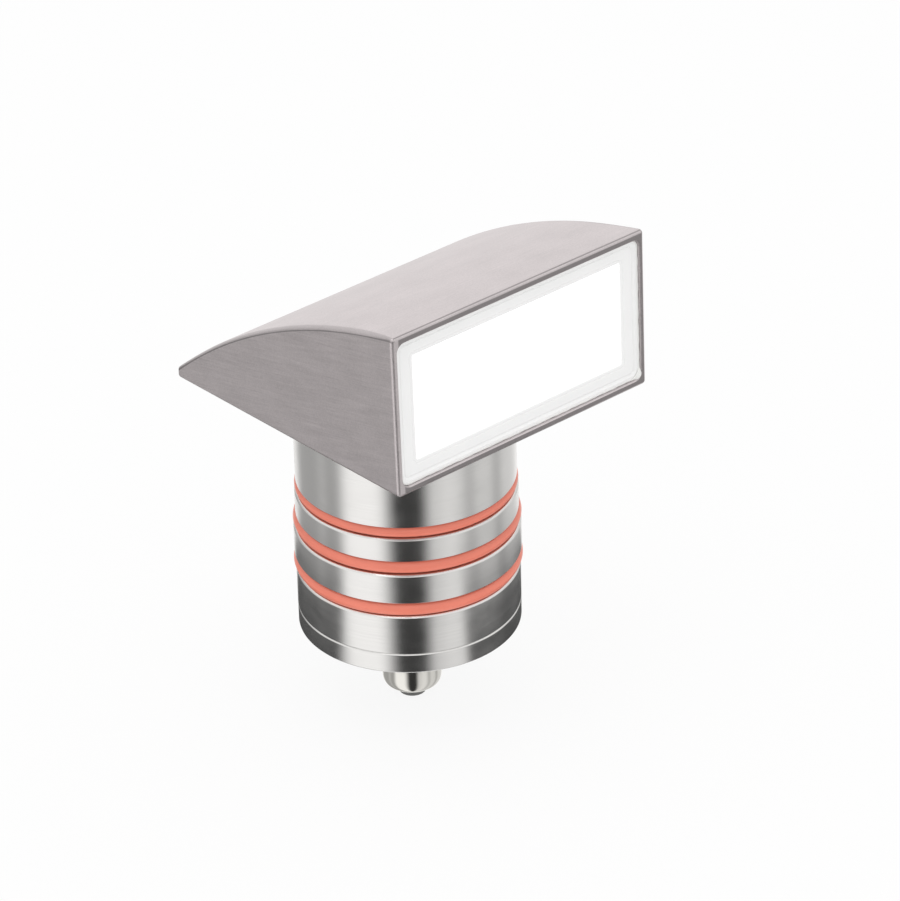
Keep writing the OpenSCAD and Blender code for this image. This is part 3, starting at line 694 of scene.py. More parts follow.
def softened(outline: Sequence[Point2], radius: float, steps: int) -> list[Point2]:
    """Round every corner of a closed outline.

    Args:
        outline: the outline's points.
        radius: the rounding's radius, which short sides make smaller.
        steps: how many steps each rounding has.

    Returns:
        The rounded outline.
    """
    rounded: list[Point2] = []
    for i, here in enumerate(outline):
        corner = Vector(here)
        back, ahead = Vector(outline[i - 1]) - corner, Vector(outline[(i + 1) % len(outline)]) - corner
        reach = min(radius, ROUNDING_SHARE * back.length, ROUNDING_SHARE * ahead.length)
        start, end = corner + back.normalized() * reach, corner + ahead.normalized() * reach
        for k in range(steps + 1):
            t = k / steps
            point = start * (1 - t) ** 2 + corner * 2 * t * (1 - t) + end * t ** 2
            rounded.append((point.x, point.y))
    return rounded


def softened_run(run: Sequence[Point2], radius: float, steps: int = 2) -> list[Point2]:
    """Round the corners of an open run of points, and leave its two ends out."""
    return softened(run, radius, steps)[steps + 1:-steps - 1]


class Shape:
    """A mesh in the making, in millimetres until it becomes a piece."""

    def __init__(self) -> None:
        """Start empty."""
        self.mesh = bmesh.new()

    def ring(self, points: Iterable[Point3]) -> list[bmesh.types.BMVert]:
        """Add a loop of vertices."""
        return [self.mesh.verts.new(p) for p in points]

    def skin(self, rings: Sequence[Sequence[bmesh.types.BMVert]], closed: bool = False) -> None:
        """Join neighbouring loops with faces.

        Args:
            rings: loops with as many vertices each.
            closed: whether the last loop joins the first.
        """
        pairs = list(zip(rings, rings[1:]))
        if closed:
            pairs.append((rings[-1], rings[0]))
        for one, other in pairs:
            for i, vertex in enumerate(one):
                self.mesh.faces.new((one[i - 1], vertex, other[i], other[i - 1]))

    def lid(self, ring: Sequence[bmesh.types.BMVert]) -> None:
        """Close a loop with one face."""
        self.mesh.faces.new(ring)

    def piece(self, name: str) -> Piece:
        """Weld, orient and scale the mesh and make it an object.

        Args:
            name: the object's name.

        Returns:
            The object, in metres.
        """
        bmesh.ops.remove_doubles(self.mesh, verts=self.mesh.verts, dist=WELD)
        bmesh.ops.dissolve_degenerate(self.mesh, edges=self.mesh.edges, dist=SLIVER)
        bmesh.ops.recalc_face_normals(self.mesh, faces=self.mesh.faces)
        bmesh.ops.scale(self.mesh, vec=(MM, MM, MM), verts=self.mesh.verts)
        data = bpy.data.meshes.new(name)
        self.mesh.to_mesh(data)
        self.mesh.free()
        made = bpy.data.objects.new(name, data)
        bpy.context.scene.collection.objects.link(made)
        return made


def sheet(name: str, outline: Iterable[Point3]) -> Piece:
    """Make a single face from its outline.

    Args:
        name: the new object's name.
        outline: the outline's points.

    Returns:
        The new object.
    """
    shape = Shape()
    shape.lid(shape.ring(outline))
    return shape.piece(name)


def lofted(name: str, loops: Iterable[Iterable[Point3]], closed: bool = False) -> Piece:
    """Skin loops of points one after the other.

    Args:
        name: the new object's name.
        loops: the loops, with as many points each.
        closed: whether the last loop joins the first; otherwise both ends get a lid.

    Returns:
        The new object.
    """
    shape = Shape()
    rings = [shape.ring(points) for points in loops]
    shape.skin(rings, closed)
    if not closed:
        shape.lid(rings[0])
        shape.lid(rings[-1])
    return shape.piece(name)


def prism(name: str, outline: Sequence[Point2], bottom: float, top: float) -> Piece:
    """Raise an outline in X and Y from one height to another."""
    return lofted(name, [[(x, y, z) for x, y in outline] for z in (bottom, top)])


def thread_wave(turns: float) -> float:
    """Return how deep a thread is at a place counted in turns: 0 on a crest and 1 in a root."""
    away = abs((turns % 1.0) - 0.5) * 2
    return min(1.0, max(0.0, THREAD_ROOT_DEPTH - THREAD_FLANK_SLOPE * away))


@dataclass(frozen=True)
class Station:
    """A place on a turned profile: its radius, its height and how deep a thread cuts there."""

    radius: float
    height: float
    cut: float = 0.0

    def loop(self, segments: int) -> list[Point3]:
        """Return points round the axis, drawn in by the thread's wave.

        Args:
            segments: how many steps a full turn has.

        Returns:
            The points.
        """
        points = []
        for i in range(segments):
            share = i / segments
            radius = self.radius - self.cut * thread_wave(self.height / THREAD_PITCH - share)
            angle = FULL_TURN * share
            points.append((radius * math.cos(angle), radius * math.sin(angle), self.height))
        return points


Profile = list[Point2 | Station]


def thread(radius: float, start: float, end: float, depth: float) -> list[Station]:
    """Return the stations of a threaded stretch.

    Args:
        radius: the radius of the crests.
        start: the height of the first station.
        end: the height of the last one.
        depth: how far the thread cuts towards the axis, or outwards when negative.

    Returns:
        Stations from start to end, where the thread fades in and out.
    """
    turns = abs(end - start) / THREAD_PITCH
    steps = max(THREAD_FEWEST_STEPS, round(turns * THREAD_STEPS))
    stations = []
    for i in range(steps + 1):
        fade = min(1.0, min(i, steps - i) * turns / steps / THREAD_FADE_TURNS)
        stations.append(Station(radius, start + (end - start) * i / steps, depth * fade))
    return stations


def turned(name: str, profile: Profile, segments: int) -> Piece:
    """Turn a closed profile about the Z axis.

    Args:
        name: the new object's name.
        profile: radius and height pairs, or stations, round the section.
        segments: how many steps a full turn has.

    Returns:
        The new object.
    """
    stations = [place if isinstance(place, Station) else Station(*place) for place in profile]
    return lofted(name, [station.loop(segments) for station in stations], closed=True)


def carve(target: Piece, cutters: Sequence[Piece], left: Cut = Cut.OUTSIDE) -> None:
    """Cut a piece with others, which are then removed.

    Args:
        target: the piece that is cut.
        cutters: the closed meshes that cut it.
        left: what they leave of it.
    """
    for cutter in cutters:
        cut = target.modifiers.new("cut", "BOOLEAN")
        cut.operation = left.value
        cut.solver = "EXACT"
        cut.object = cutter
    cut_mesh = bpy.data.meshes.new_from_object(target.evaluated_get(bpy.context.evaluated_depsgraph_get()))
    target.modifiers.clear()
    target.data = cut_mesh
    for cutter in cutters:
        bpy.data.objects.remove(cutter)


def shade(piece: Piece) -> None:
    """Shade a piece smooth between its sharp edges, with broad faces kept flat.

    Args:
        piece: the piece.
    """
    piece.data.shade_smooth()
    piece.data.set_sharp_from_angle(angle=SHARP_ANGLE)
    even = piece.modifiers.new("even_shading", "WEIGHTED_NORMAL")
    even.keep_sharp = True
    even.weight = FLAT_WEIGHT


def fit(piece: Piece, body: Body, finish: Finish, *nodes: str) -> Piece:
    """Shade, dress and mount a piece, and let it stand for CAD nodes.

    Args:
        piece: the new piece.
        body: the body that it rides on.
        finish: its finish.
        nodes: the CAD nodes that it replaces.

    Returns:
        The same piece.
    """
    shade(piece)
    finish.dress(piece)
    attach(piece, body.value)
    if nodes:
        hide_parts(*nodes)
    return piece


def corners(node: str) -> tuple[Vector, Vector]:
    """Return a CAD node's lowest and highest corners in millimetres."""
    low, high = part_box(node)
    return low / MM, high / MM


@dataclass
class Hood:
    """The arched hood with its cheeks, rim and floor."""

    rim_height: float = 36.88
    setback: float = 0.8
    nose_foot: float = 1.0
    arch_radius: float = 147.0
    edge_radius: float = 0.9
    arch_softening: float = 2.2
    arch_fade_parts: int = 6
    wall: float = 2.4
    floor: float = 3.5
    rim_wall: float = 1.3
    rim_foot: float = 1.8
    rim_top: float = 2.0
    mouth_depth: float = 3.6
    mouth_corner: float = 2.0
    mouth_edge: float = 0.22
    neck_hole: float = 15.1
    register_radius: float = 24.3
    register_depth: float = 1.0
    register_segments: int = 192
    screw_head: float = 2.6
    foot_hole: float = 1.45
    foot_hole_left: float = 0.8
    foot_segments: int = 32
    arch_steps: int = 96
    edge_steps: int = 8
    width: float = field(init=False)
    lean: float = field(init=False)
    front: float = field(init=False)
    nose: Point2 = field(init=False)
    arch_centre: Point2 = field(init=False)

    def __post_init__(self) -> None:
        """Take the hood's overall reach from the CAD node, and work out the arch's centre.

        The arch runs through the top of the rim and touches the rounding of the nose from inside.
        """
        low, high = corners("hood_shell")
        self.width = high.x - low.x
        self.lean = math.atan2(self.setback, self.rim_height)
        self.front = self.edge_radius * math.tan(self.lean) - low.y
        self.nose = (high.y - self.edge_radius, self.edge_radius + self.nose_foot)
        top_y = self.setback - self.front
        step = Vector((self.nose[0] - top_y, self.nose[1] - self.rim_height))
        inner = self.arch_radius - self.edge_radius
        foot = (self.arch_radius ** 2 - inner ** 2 + step.length ** 2) / (2 * step.length)
        rise = math.sqrt(self.arch_radius ** 2 - foot ** 2)
        self.arch_centre = (top_y + (foot * step.x + rise * step.y) / step.length,
                            self.rim_height + (foot * step.y - rise * step.x) / step.length)

    @property
    def mouth_width(self) -> float:
        """Width of the mouth between the rim's sides."""
        return self.width - 2 * self.rim_wall

    @property
    def mouth_height(self) -> float:
        """Height of the mouth, square to the rim."""
        return self.rim_height - self.rim_foot - self.rim_top

    @property
    def mouth_middle(self) -> float:
        """Height of the mouth's middle above the rim's foot."""
        return self.rim_foot + self.mouth_height / 2

    def at_mouth(self, x: float, depth: float, height: float) -> Point3:
        """Turn a place seen square to the rim into a place in the frame.

        Args:
            x: the place across the mouth.
            depth: how far it lies behind the rim's face.
            height: how far it lies above the rim's foot, along the rim.

        Returns:
            The place in the frame.
        """
        c, s = math.cos(self.lean), math.sin(self.lean)
        return x, -self.front + depth * c + height * s, -depth * s + height * c

    def mouth_loop(self, width: float, height: float, corner: float, middle: float,
                   depth: float) -> list[Point3]:
        """Return a round-cornered loop square to the rim.

        Args:
            width: its width.
            height: its height.
            corner: its corner radius.
            middle: the height of its middle above the rim's foot.
            depth: how far it lies behind the rim's face.

        Returns:
            Its points in the frame.
        """
        return [self.at_mouth(x, depth, z) for x, z in round_rectangle(width, height, corner, middle)]

    def rim_y(self, z: float) -> float:
        """Return where the leaning rim stands at a height, drawn in by the edge radius."""
        return self.edge_radius / math.cos(self.lean) - self.front + z * math.tan(self.lean)

    def corner_height(self) -> float:
        """Return the height where the rim meets the arch, both drawn in by the edge radius.

        Returns:
            The height.
        """
        slope = math.tan(self.lean)
        y = self.rim_y(0) - self.arch_centre[0]
        a = slope * slope + 1
        b = slope * y - self.arch_centre[1]
        c = y * y + self.arch_centre[1] ** 2 - (self.arch_radius - self.edge_radius) ** 2
        return (math.sqrt(b * b - a * c) - b) / a

    def outline(self, inset: float) -> list[Point2]:
        """Return the hood's side outline, drawn in evenly.

        Args:
            inset: how far it is drawn in, up to the edge radius.

        Returns:
            Places along Y and Z.
        """
        r = self.edge_radius - inset
        height = self.corner_height()
        top = (self.rim_y(height), height)
        foot = (self.rim_y(self.edge_radius), self.edge_radius)
        heel = (self.nose[0], self.edge_radius)
        cy, cz = self.arch_centre
        nose_angle = math.atan2(self.nose[1] - cz, self.nose[0] - cy)
        top_angle = math.atan2(top[1] - cz, top[0] - cy)
        square = math.pi - self.lean
        return (arc(heel, r, -math.pi / 2, 0.0, self.edge_steps)
                + arc(self.nose, r, 0.0, nose_angle, self.edge_steps)
                + arc(self.arch_centre, self.arch_radius - inset, nose_angle, top_angle, self.arch_steps)
                + arc(top, r, top_angle, square, self.edge_steps)
                + arc(foot, r, square, 1.5 * math.pi, self.edge_steps))

    def softening(self) -> list[float]:
        """Return how far the softened edge reaches in across the hood, for each place of its side outline.

        Returns:
            The reaches: the edge radius, with more of it along the arch.
        """
        plain = [self.edge_radius] * (self.edge_steps + 1)
        arch = []
        for i in range(self.arch_steps + 1):
            share = min(1.0, self.arch_fade_parts * min(i, self.arch_steps - i) / self.arch_steps)
            more = (self.arch_softening - self.edge_radius) * math.sin(share * math.pi / 2)
            arch.append(self.edge_radius + more)
        return plain * 2 + arch + plain * 2

    def body(self) -> Piece:
        """Make the solid hood with its softened edges.

        Returns:
            The hood before it is hollowed.
        """
        reaches = self.softening()
        halves: list[list[Point3]] = []
        for i in range(self.edge_steps + 1):
            a = math.pi / 2 * i / self.edge_steps
            outline = self.outline(self.edge_radius * (1 - math.sin(a)))
            halves.append([(self.width / 2 - reach * (1 - math.cos(a)), y, z)
                           for reach, (y, z) in zip(reaches, outline)])
        mirrored = [[(-x, y, z) for x, y, z in half] for half in halves]
        return lofted("hood_body", mirrored + halves[::-1])

    def mouth(self) -> Piece:
        """Make the cutter of the mouth, flared at the rim's face.

        Returns:
            The cutter.
        """
        loops = []
        for depth in (-OVERRUN, self.mouth_edge, self.mouth_depth):
            flare = max(0.0, self.mouth_edge - depth)
            loops.append(self.mouth_loop(self.mouth_width + 2 * flare, self.mouth_height + 2 * flare,
                                         self.mouth_corner + flare, self.mouth_middle, depth))
        return lofted("mouth_cutter", loops)

    def cavity(self) -> Piece:
        """Make the cutter of the hollow behind the mouth.

        Returns:
            The cutter.
        """
        cy, cz = self.arch_centre
        inner = self.arch_radius - self.wall
        start = math.asin((self.floor - cz) / inner)
        end = math.acos((-self.front - cy) / inner)
        outline = [(-self.front, self.floor)] + arc((cy, cz), inner, start, end, self.arch_steps)
        half = self.width / 2 - self.wall
        return lofted("cavity_cutter", [[(x, y, z) for y, z in outline] for x in (-half, half)])

    def foot_places(self) -> list[Point2]:
        """Return where the heat spreader's two screws stand.

        Returns:
            Their places along X and Y.
        """
        low, high = corners("spreader_screws")
        x, y = high.x - self.screw_head, (low.y + high.y) / 2
        return [(-x, y), (x, y)]

    def build(self) -> Piece:
        """Make the hood.

        Returns:
            The hood's piece, in place of its CAD node.
        """
        hood = self.body()
        through = self.floor + OVERRUN
        register = circle(self.register_radius, segments=self.register_segments)
        cutters = [self.mouth(), self.cavity(),
                   prism("neck_cutter", circle(self.neck_hole), -OVERRUN, through),
                   prism("register_cutter", register, -OVERRUN, self.register_depth)]
        for x, y in self.foot_places():
            foot = circle(self.foot_hole, x, y, self.foot_segments)
            cutters.append(prism("foot_cutter", foot, self.foot_hole_left, through))
        carve(hood, cutters)
        return fit(hood, Body.ROOT, HOOD_STEEL, "hood_shell")


@dataclass(frozen=True)
class Ripple:
    """A gentle wave in the bead of sealant: its share of the radius, and its pace along X and up."""

    share: float
    along: float
    up: float


@dataclass
class LensUnit:
    """The white frame in the mouth, its bead of sealant and the lit window."""

    hood: Hood
    play: float = 0.1
    recess: float = 0.8
    lip_width: float = 1.1
    lip_height: float = 0.3
    lip_shares: tuple[float, ...] = (0.0, 0.3, 0.65, 1.0)
    border_side: float = 4.8
    border_top: float = 4.3
    border_foot: float = 4.6
    crease_width: float = 0.4
    crease_depth: float = 0.26
    soft_edge: float = 0.28
    edge_steps: int = 4
    frame_back: float = 3.1
    window_step: float = 0.4
    window_corner: float = 0.3
    flange_back: float = 4.6
    flange_reach: float = 1.3
    bead_radius: float = 0.2
    bead_shift: float = 0.11
    bead_proud: float = 0.04
    bead_sink: float = 0.1
    bead_flatness: float = 0.7
    bead_sides: int = 12
    bead_step: float = 0.45
    bead_corner_steps: int = 10
    ripples: tuple[Ripple, ...] = (Ripple(0.12, 0.9, 2.0), Ripple(0.1, 2.3, -1.1))
    blob_radius: float = 0.72
    blob_length: float = 3.0
    blob_height: float = 2.2
    width: float = field(init=False)
    height: float = field(init=False)
    middle: float = field(init=False)
    corner: float = field(init=False)
    window_width: float = field(init=False)
    window_height: float = field(init=False)
    window_middle: float = field(init=False)
    face: float = field(init=False)

    def __post_init__(self) -> None:
        """Work out the frame's and the window's sizes from the mouth."""
        self.width = self.hood.mouth_width - 2 * self.play
        self.height = self.hood.mouth_height - 2 * self.play
        self.middle = self.hood.mouth_middle
        self.corner = self.hood.mouth_corner - self.play
        self.window_width = self.width - 2 * self.border_side
        self.window_height = self.height - self.border_top - self.border_foot
        self.window_middle = self.hood.rim_foot + self.play + self.border_foot + self.window_height / 2
        self.face = self.recess + self.lip_height

    def frame_loop(self, inset: float, depth: float, corner: float) -> list[Point3]:
        """Return a loop that follows the frame's outer edge, drawn in by an inset."""
        return self.hood.mouth_loop(self.width - 2 * inset, self.height - 2 * inset, corner, self.middle,
                                    depth)

    def window_loop(self, reach: float, depth: float, corner: float) -> list[Point3]:
        """Return a loop that follows the window and stands out past its opening by a reach."""
        return self.hood.mouth_loop(self.window_width + 2 * reach, self.window_height + 2 * reach, corner,
                                    self.window_middle, depth)

    def border(self) -> Piece:
        """Make the moulded frame with its rounded lip and the soft edge round the window.

        Returns:
            The frame's piece.
        """
        r, face, lip, crease = self.soft_edge, self.face, self.lip_width, self.crease_width
        inner_corner = self.corner / 2
        loops = [self.frame_loop(0, self.frame_back, self.corner)]
        for inset, depth in arc((r, self.recess + r), r, math.pi, 1.5 * math.pi, self.edge_steps):
            loops.append(self.frame_loop(inset, depth, self.corner - inset / 2))
        for share in self.lip_shares:
            smooth_step = 3 * share ** 2 - 2 * share ** 3
            depth = self.recess + self.lip_height * smooth_step
            loops.append(self.frame_loop(lip - r * (1 - share), depth, inner_corner))
        loops.append(self.frame_loop(lip + crease / 2, face + self.crease_depth, inner_corner))
        loops.append(self.frame_loop(lip + crease, face, inner_corner))
        inner_crease = [(r + 2 * crease, face), (r + 1.5 * crease, face + self.crease_depth / 2),
                        (r + crease, face)]
        for reach, depth in inner_crease + arc((r, face + r), r, 1.5 * math.pi, math.pi, self.edge_steps):
            loops.append(self.window_loop(reach, depth, self.window_corner + reach))
        loops.append(self.window_loop(0, self.frame_back, self.window_corner))
        border = lofted("lens_border_frame", loops, closed=True)
        return fit(border, Body.ROOT, LENS_BORDER, "lens_frame")

    def window(self) -> Piece:
        """Make the opal window with its rounded front edge and its flange behind the frame.

        Returns:
            The window's piece.
        """
        r = self.soft_edge
        front = self.face + self.window_step
        flange_front = self.frame_back + self.play / 2
        places = [(self.flange_reach, self.flange_back), (self.flange_reach, flange_front),
                  (-self.play, flange_front)]
        places += arc((-self.play - r, front + r), r, 0.0, -math.pi / 2, self.edge_steps)
        loops = [self.window_loop(reach, depth, self.window_corner) for reach, depth in places]
        return fit(lofted("window_pane", loops), Body.ROOT, WINDOW, "diffuser_panel")

    def bead_path(self) -> list[Point2]:
        """Return the places round the frame that the bead's sections stand at.

        Returns:
            The places across the mouth and up, closely spaced.
        """
        path = round_rectangle(self.width, self.height, self.corner, self.middle, self.bead_corner_steps)
        places: list[Point2] = []
        for i, (x, z) in enumerate(path):
            next_x, next_z = path[(i + 1) % len(path)]
            count = max(1, round(math.dist((x, z), (next_x, next_z)) / self.bead_step))
            places += [(x + (next_x - x) * k / count, z + (next_z - z) * k / count) for k in range(count)]
        return places

    def bead_size(self, x: float, z: float) -> float:
        """Return the bead's radius at a place on its path.

        Args:
            x: the place across the mouth.
            z: its height.

        Returns:
            The radius, thicker by the right-hand lower corner.
        """
        ripple = sum(r.share * math.sin(x * r.along + r.up * z) for r in self.ripples)
        radius = self.bead_radius * (1 + ripple)
        if x > 0:
            away = math.dist((x, z), (self.width / 2, self.blob_height)) / (self.blob_length / 2)
            radius += (self.blob_radius - self.bead_radius) * math.exp(-away ** 4)
        return radius

    def bead_section(self, here: Point2, inwards: Vector, limit: float) -> list[Point3]:
        """Return the bead's section at a place on its path.

        Args:
            here: the place across the mouth and up.
            inwards: the way from the path into the frame, one unit long.
            limit: the Y of the hood's foremost edge, which no point passes.

        Returns:
            The section's points in the frame.
        """
        radius = self.bead_size(*here)
        section = []
        for k in range(self.bead_sides):
            a = FULL_TURN * k / self.bead_sides
            shift = inwards * (radius * math.cos(a) + self.bead_shift)
            depth = self.recess + self.bead_sink - radius * self.bead_flatness * (1 + math.sin(a))
            x, y, z = self.hood.at_mouth(here[0] + shift.x, max(-self.bead_proud, depth), here[1] + shift.y)
            section.append((x, max(y, limit), z))
        return section

    def bead(self) -> Piece:
        """Make the bead of sealant squeezed out round the frame.

        Returns:
            The bead's piece.
        """
        path = self.bead_path()
        limit = corners("hood_shell")[0].y
        loops = []
        for i, here in enumerate(path):
            ahead = Vector(path[(i + 1) % len(path)]) - Vector(path[i - 1])
            inwards = Vector((-ahead.y, ahead.x)).normalized()
            loops.append(self.bead_section(here, inwards, limit))
        return fit(lofted("sealant_bead", loops, closed=True), Body.ROOT, WHITE_SILICONE)

    def build(self) -> list[Piece]:
        """Make the frame, the window and the bead."""
        return [self.border(), self.window(), self.bead()]


@dataclass
class SealingRing:
    """A round-section silicone ring with the fine flash line of its mould."""

    node: str
    body: Body = Body.ROOT
    slimmer: float = 0.0
    sunk: float = 0.0
    drop: float = 0.0
    flash: float = 0.03
    flash_angle: float = 0.07
    flash_falloff: float = 3.0
    section_steps: int = 36
    segments: int = 256
    cord: float = field(init=False)
    middle: float = field(init=False)
    height: float = field(init=False)

    def __post_init__(self) -> None:
        """Take the ring's place from its CAD node, slimmed, sunk and lowered as it is given."""
        low, high = corners(self.node)
        self.cord = (high.z - low.z) / 2 - self.slimmer
        self.middle = high.x - self.sunk - self.cord
        self.height = (low.z + high.z) / 2 - self.drop

    def build(self) -> Piece:
        """Make the ring.

        Returns:
            The ring's piece, in place of its CAD node.
        """
        angles = sorted({FULL_TURN * k / self.section_steps for k in range(self.section_steps)}
                        | {self.flash_angle, FULL_TURN - self.flash_angle})
        profile: Profile = []
        for a in angles:
            from_line = min(a, FULL_TURN - a) / self.flash_angle
            flash = self.flash * math.exp(-from_line ** 2 * self.flash_falloff)
            reach = self.cord * (1 - self.flash + flash)
            profile.append((self.middle + reach * math.cos(a), self.height + reach * math.sin(a)))
        name = self.node.replace("o_ring", "sealing_ring") + "_cord"
        return fit(turned(name, profile, self.segments), self.body, RING_CORAL, self.node)


@dataclass
class Canister:
    """The turned canister with its neck, grooves and threaded tail."""

    rings: Sequence[SealingRing]
    shoulder: float = 24.2
    upper_land: float = 24.5
    land: float = 25.0
    tail: float = 24.72
    bore: float = 20.8
    bore_bevel: float = 0.3
    spigot_bore: float = 22.12
    neck: float = 15.0
    neck_bore: float = 12.0
    neck_top: float = 6.9
    neck_bevel: float = 0.5
    neck_thread_depth: float = 0.5
    neck_thread_end: float = 0.3
    register: float = 1.0
    ceiling: float = -3.0
    seam: float = -55.2
    relief_top: float = -48.4
    groove_play: float = 0.08
    groove_floor: float = 21.8
    groove_bevel: float = 0.4
    last_groove_bevel: float = 0.3
    shoulder_bevel: float = 0.4
    seam_bevel: float = 0.12
    rounding: float = 0.09
    thread_depth: float = 0.75
    thread_start: float = 0.4
    thread_end: float = 0.6
    seal_radius: float = 19.6
    seal_cord: float = 1.5
    seal_depth_share: float = 0.8
    screw_hole: float = 1.45
    screw_radius: float = 16.4
    screw_depth: float = 2.6
    screw_segments: int = 32
    segments: int = 256

    def side(self) -> list[Point2]:
        """Return the canister's outside from the neck down to the seam, grooves included.

        Returns:
            Radius and height pairs.
        """
        lands = (self.shoulder, self.upper_land, self.land, self.tail)
        seal_inner = self.seal_radius - self.seal_cord / 2
        seal_outer = self.seal_radius + self.seal_cord / 2
        seal_floor = self.register - self.seal_cord * self.seal_depth_share
        points = [(self.neck, self.register), (seal_inner, self.register), (seal_inner, seal_floor),
                  (seal_outer, seal_floor), (seal_outer, self.register),
                  (self.shoulder - self.shoulder_bevel, self.register),
                  (self.shoulder, self.register - self.shoulder_bevel)]
        for ring, above, below in zip(self.rings, lands, lands[1:]):
            top, bottom = (ring.height + side * (ring.cord + self.groove_play) for side in (1, -1))
            if ring is self.rings[-1]:
                points.append((above, top + self.last_groove_bevel))
                above -= self.last_groove_bevel
            points += [(above, top), (self.groove_floor, top), (self.groove_floor, bottom),
                       (below - self.groove_bevel, bottom), (below, bottom - self.groove_bevel)]
        points += [(self.tail, self.seam + self.seam_bevel), (self.tail - self.seam_bevel, self.seam)]
        return points

    def profile(self) -> Profile:
        """Return the canister's whole section, from the neck's bore round the outside and back up inside.

        Returns:
            Radius and height pairs, with stations where it is threaded.
        """
        bevel = self.bore_bevel
        profile: Profile = [(self.neck_bore, self.neck_top - bevel), (self.neck_bore + bevel, self.neck_top),
                            (self.neck - self.neck_bevel, self.neck_top)]
        profile += thread(self.neck, self.neck_top - self.neck_bevel, self.register + self.neck_thread_end,
                          self.neck_thread_depth)
        profile += softened_run(self.side(), self.rounding)
        profile.append((self.spigot_bore + bevel, self.seam))
        profile += thread(self.spigot_bore, self.seam + self.thread_start, self.relief_top - self.thread_end,
                          -self.thread_depth)
        profile += [(self.spigot_bore, self.relief_top), (self.bore, self.relief_top),
                    (self.bore, self.ceiling), (self.neck_bore + bevel, self.ceiling),
                    (self.neck_bore, self.ceiling + bevel)]
        return profile

    def build(self) -> Piece:
        """Turn the canister and drill its two blind screw holes.

        Returns:
            The canister's piece.
        """
        canister = turned("canister_turned", self.profile(), self.segments)
        holes = []
        for side in (-1, 1):
            hole = circle(self.screw_hole, 0.0, side * self.screw_radius, self.screw_segments)
            holes.append(prism("hole_cutter", hole, self.ceiling - OVERRUN, self.ceiling + self.screw_depth))
        carve(canister, holes)
        return fit(canister, Body.ROOT, CANISTER_STEEL, "canister_body")


@dataclass
class RearCap:
    """The end cap: a turned disc with a threaded spigot and two holes for a pin spanner."""

    radius: float = 24.7
    spigot: float = 22.0
    spigot_bore: float = 18.0
    spigot_top: float = -49.2
    seam: float = -55.22
    bottom: float = -60.2
    bevel: float = 0.4
    rounding: float = 0.08
    thread_depth: float = 0.7
    thread_start: float = 0.2
    groove_bottom: float = -54.7
    groove_top: float = -53.3
    groove_floor: float = 20.8
    bore: float = 6.12
    bore_bevel: float = 0.3
    bore_thread_depth: float = 0.45
    pin_radius: float = 2.0
    pin_place: float = 16.45
    pin_depth: float = 3.0
    pin_bevel: float = 0.3
    pin_overrun: float = 0.6
    pin_segments: int = 48
    segments: int = 256

    def profile(self) -> Profile:
        """Return the cap's section, from its lower edge round the spigot and down its bore.

        Returns:
            Radius and height pairs, with stations where it is threaded.
        """
        b = self.bevel
        outside = [(self.bore + self.bore_bevel, self.bottom), (self.radius - b, self.bottom),
                   (self.radius, self.bottom + b), (self.radius, self.seam - b),
                   (self.radius - b, self.seam), (self.spigot, self.seam), (self.spigot, self.groove_bottom),
                   (self.groove_floor, self.groove_bottom), (self.groove_floor, self.groove_top),
                   (self.spigot, self.groove_top)]
        profile: Profile = [*softened_run(outside, self.rounding), outside[-1]]
        profile += thread(self.spigot, self.groove_top + self.thread_start, self.spigot_top - b,
                          self.thread_depth)
        profile += [(self.spigot - b, self.spigot_top), (self.spigot_bore, self.spigot_top),
                    (self.spigot_bore, self.seam), (self.bore + self.bore_bevel, self.seam)]
        profile += thread(self.bore, self.seam - self.bore_bevel, self.bottom + self.bore_bevel,
                          -self.bore_thread_depth)
        return profile

    def pin_cutter(self, side: int) -> Piece:
        """Make the cutter of one spanner hole, flared at the cap's face.

        Args:
            side: -1 or 1, for the hole on that side of the middle.

        Returns:
            The cutter.
        """
        sections = ((self.pin_bevel + self.pin_overrun, -self.pin_overrun), (self.pin_bevel, 0.0),
                    (0.0, self.pin_bevel), (0.0, self.pin_depth))
        loops = []
        for wider, rise in sections:
            outline = circle(self.pin_radius + wider, side * self.pin_place, 0.0, self.pin_segments)
            loops.append([(x, y, self.bottom + rise) for x, y in outline])
        return lofted("pin_cutter", loops)

    def build(self) -> Piece:
        """Turn the cap and bore its spanner holes.

        Returns:
            The cap's piece.
        """
        cap = turned("rear_cap_turned", self.profile(), self.segments)
        carve(cap, [self.pin_cutter(side) for side in (-1, 1)])
        return fit(cap, Body.CAP, CANISTER_STEEL, "rear_cap")


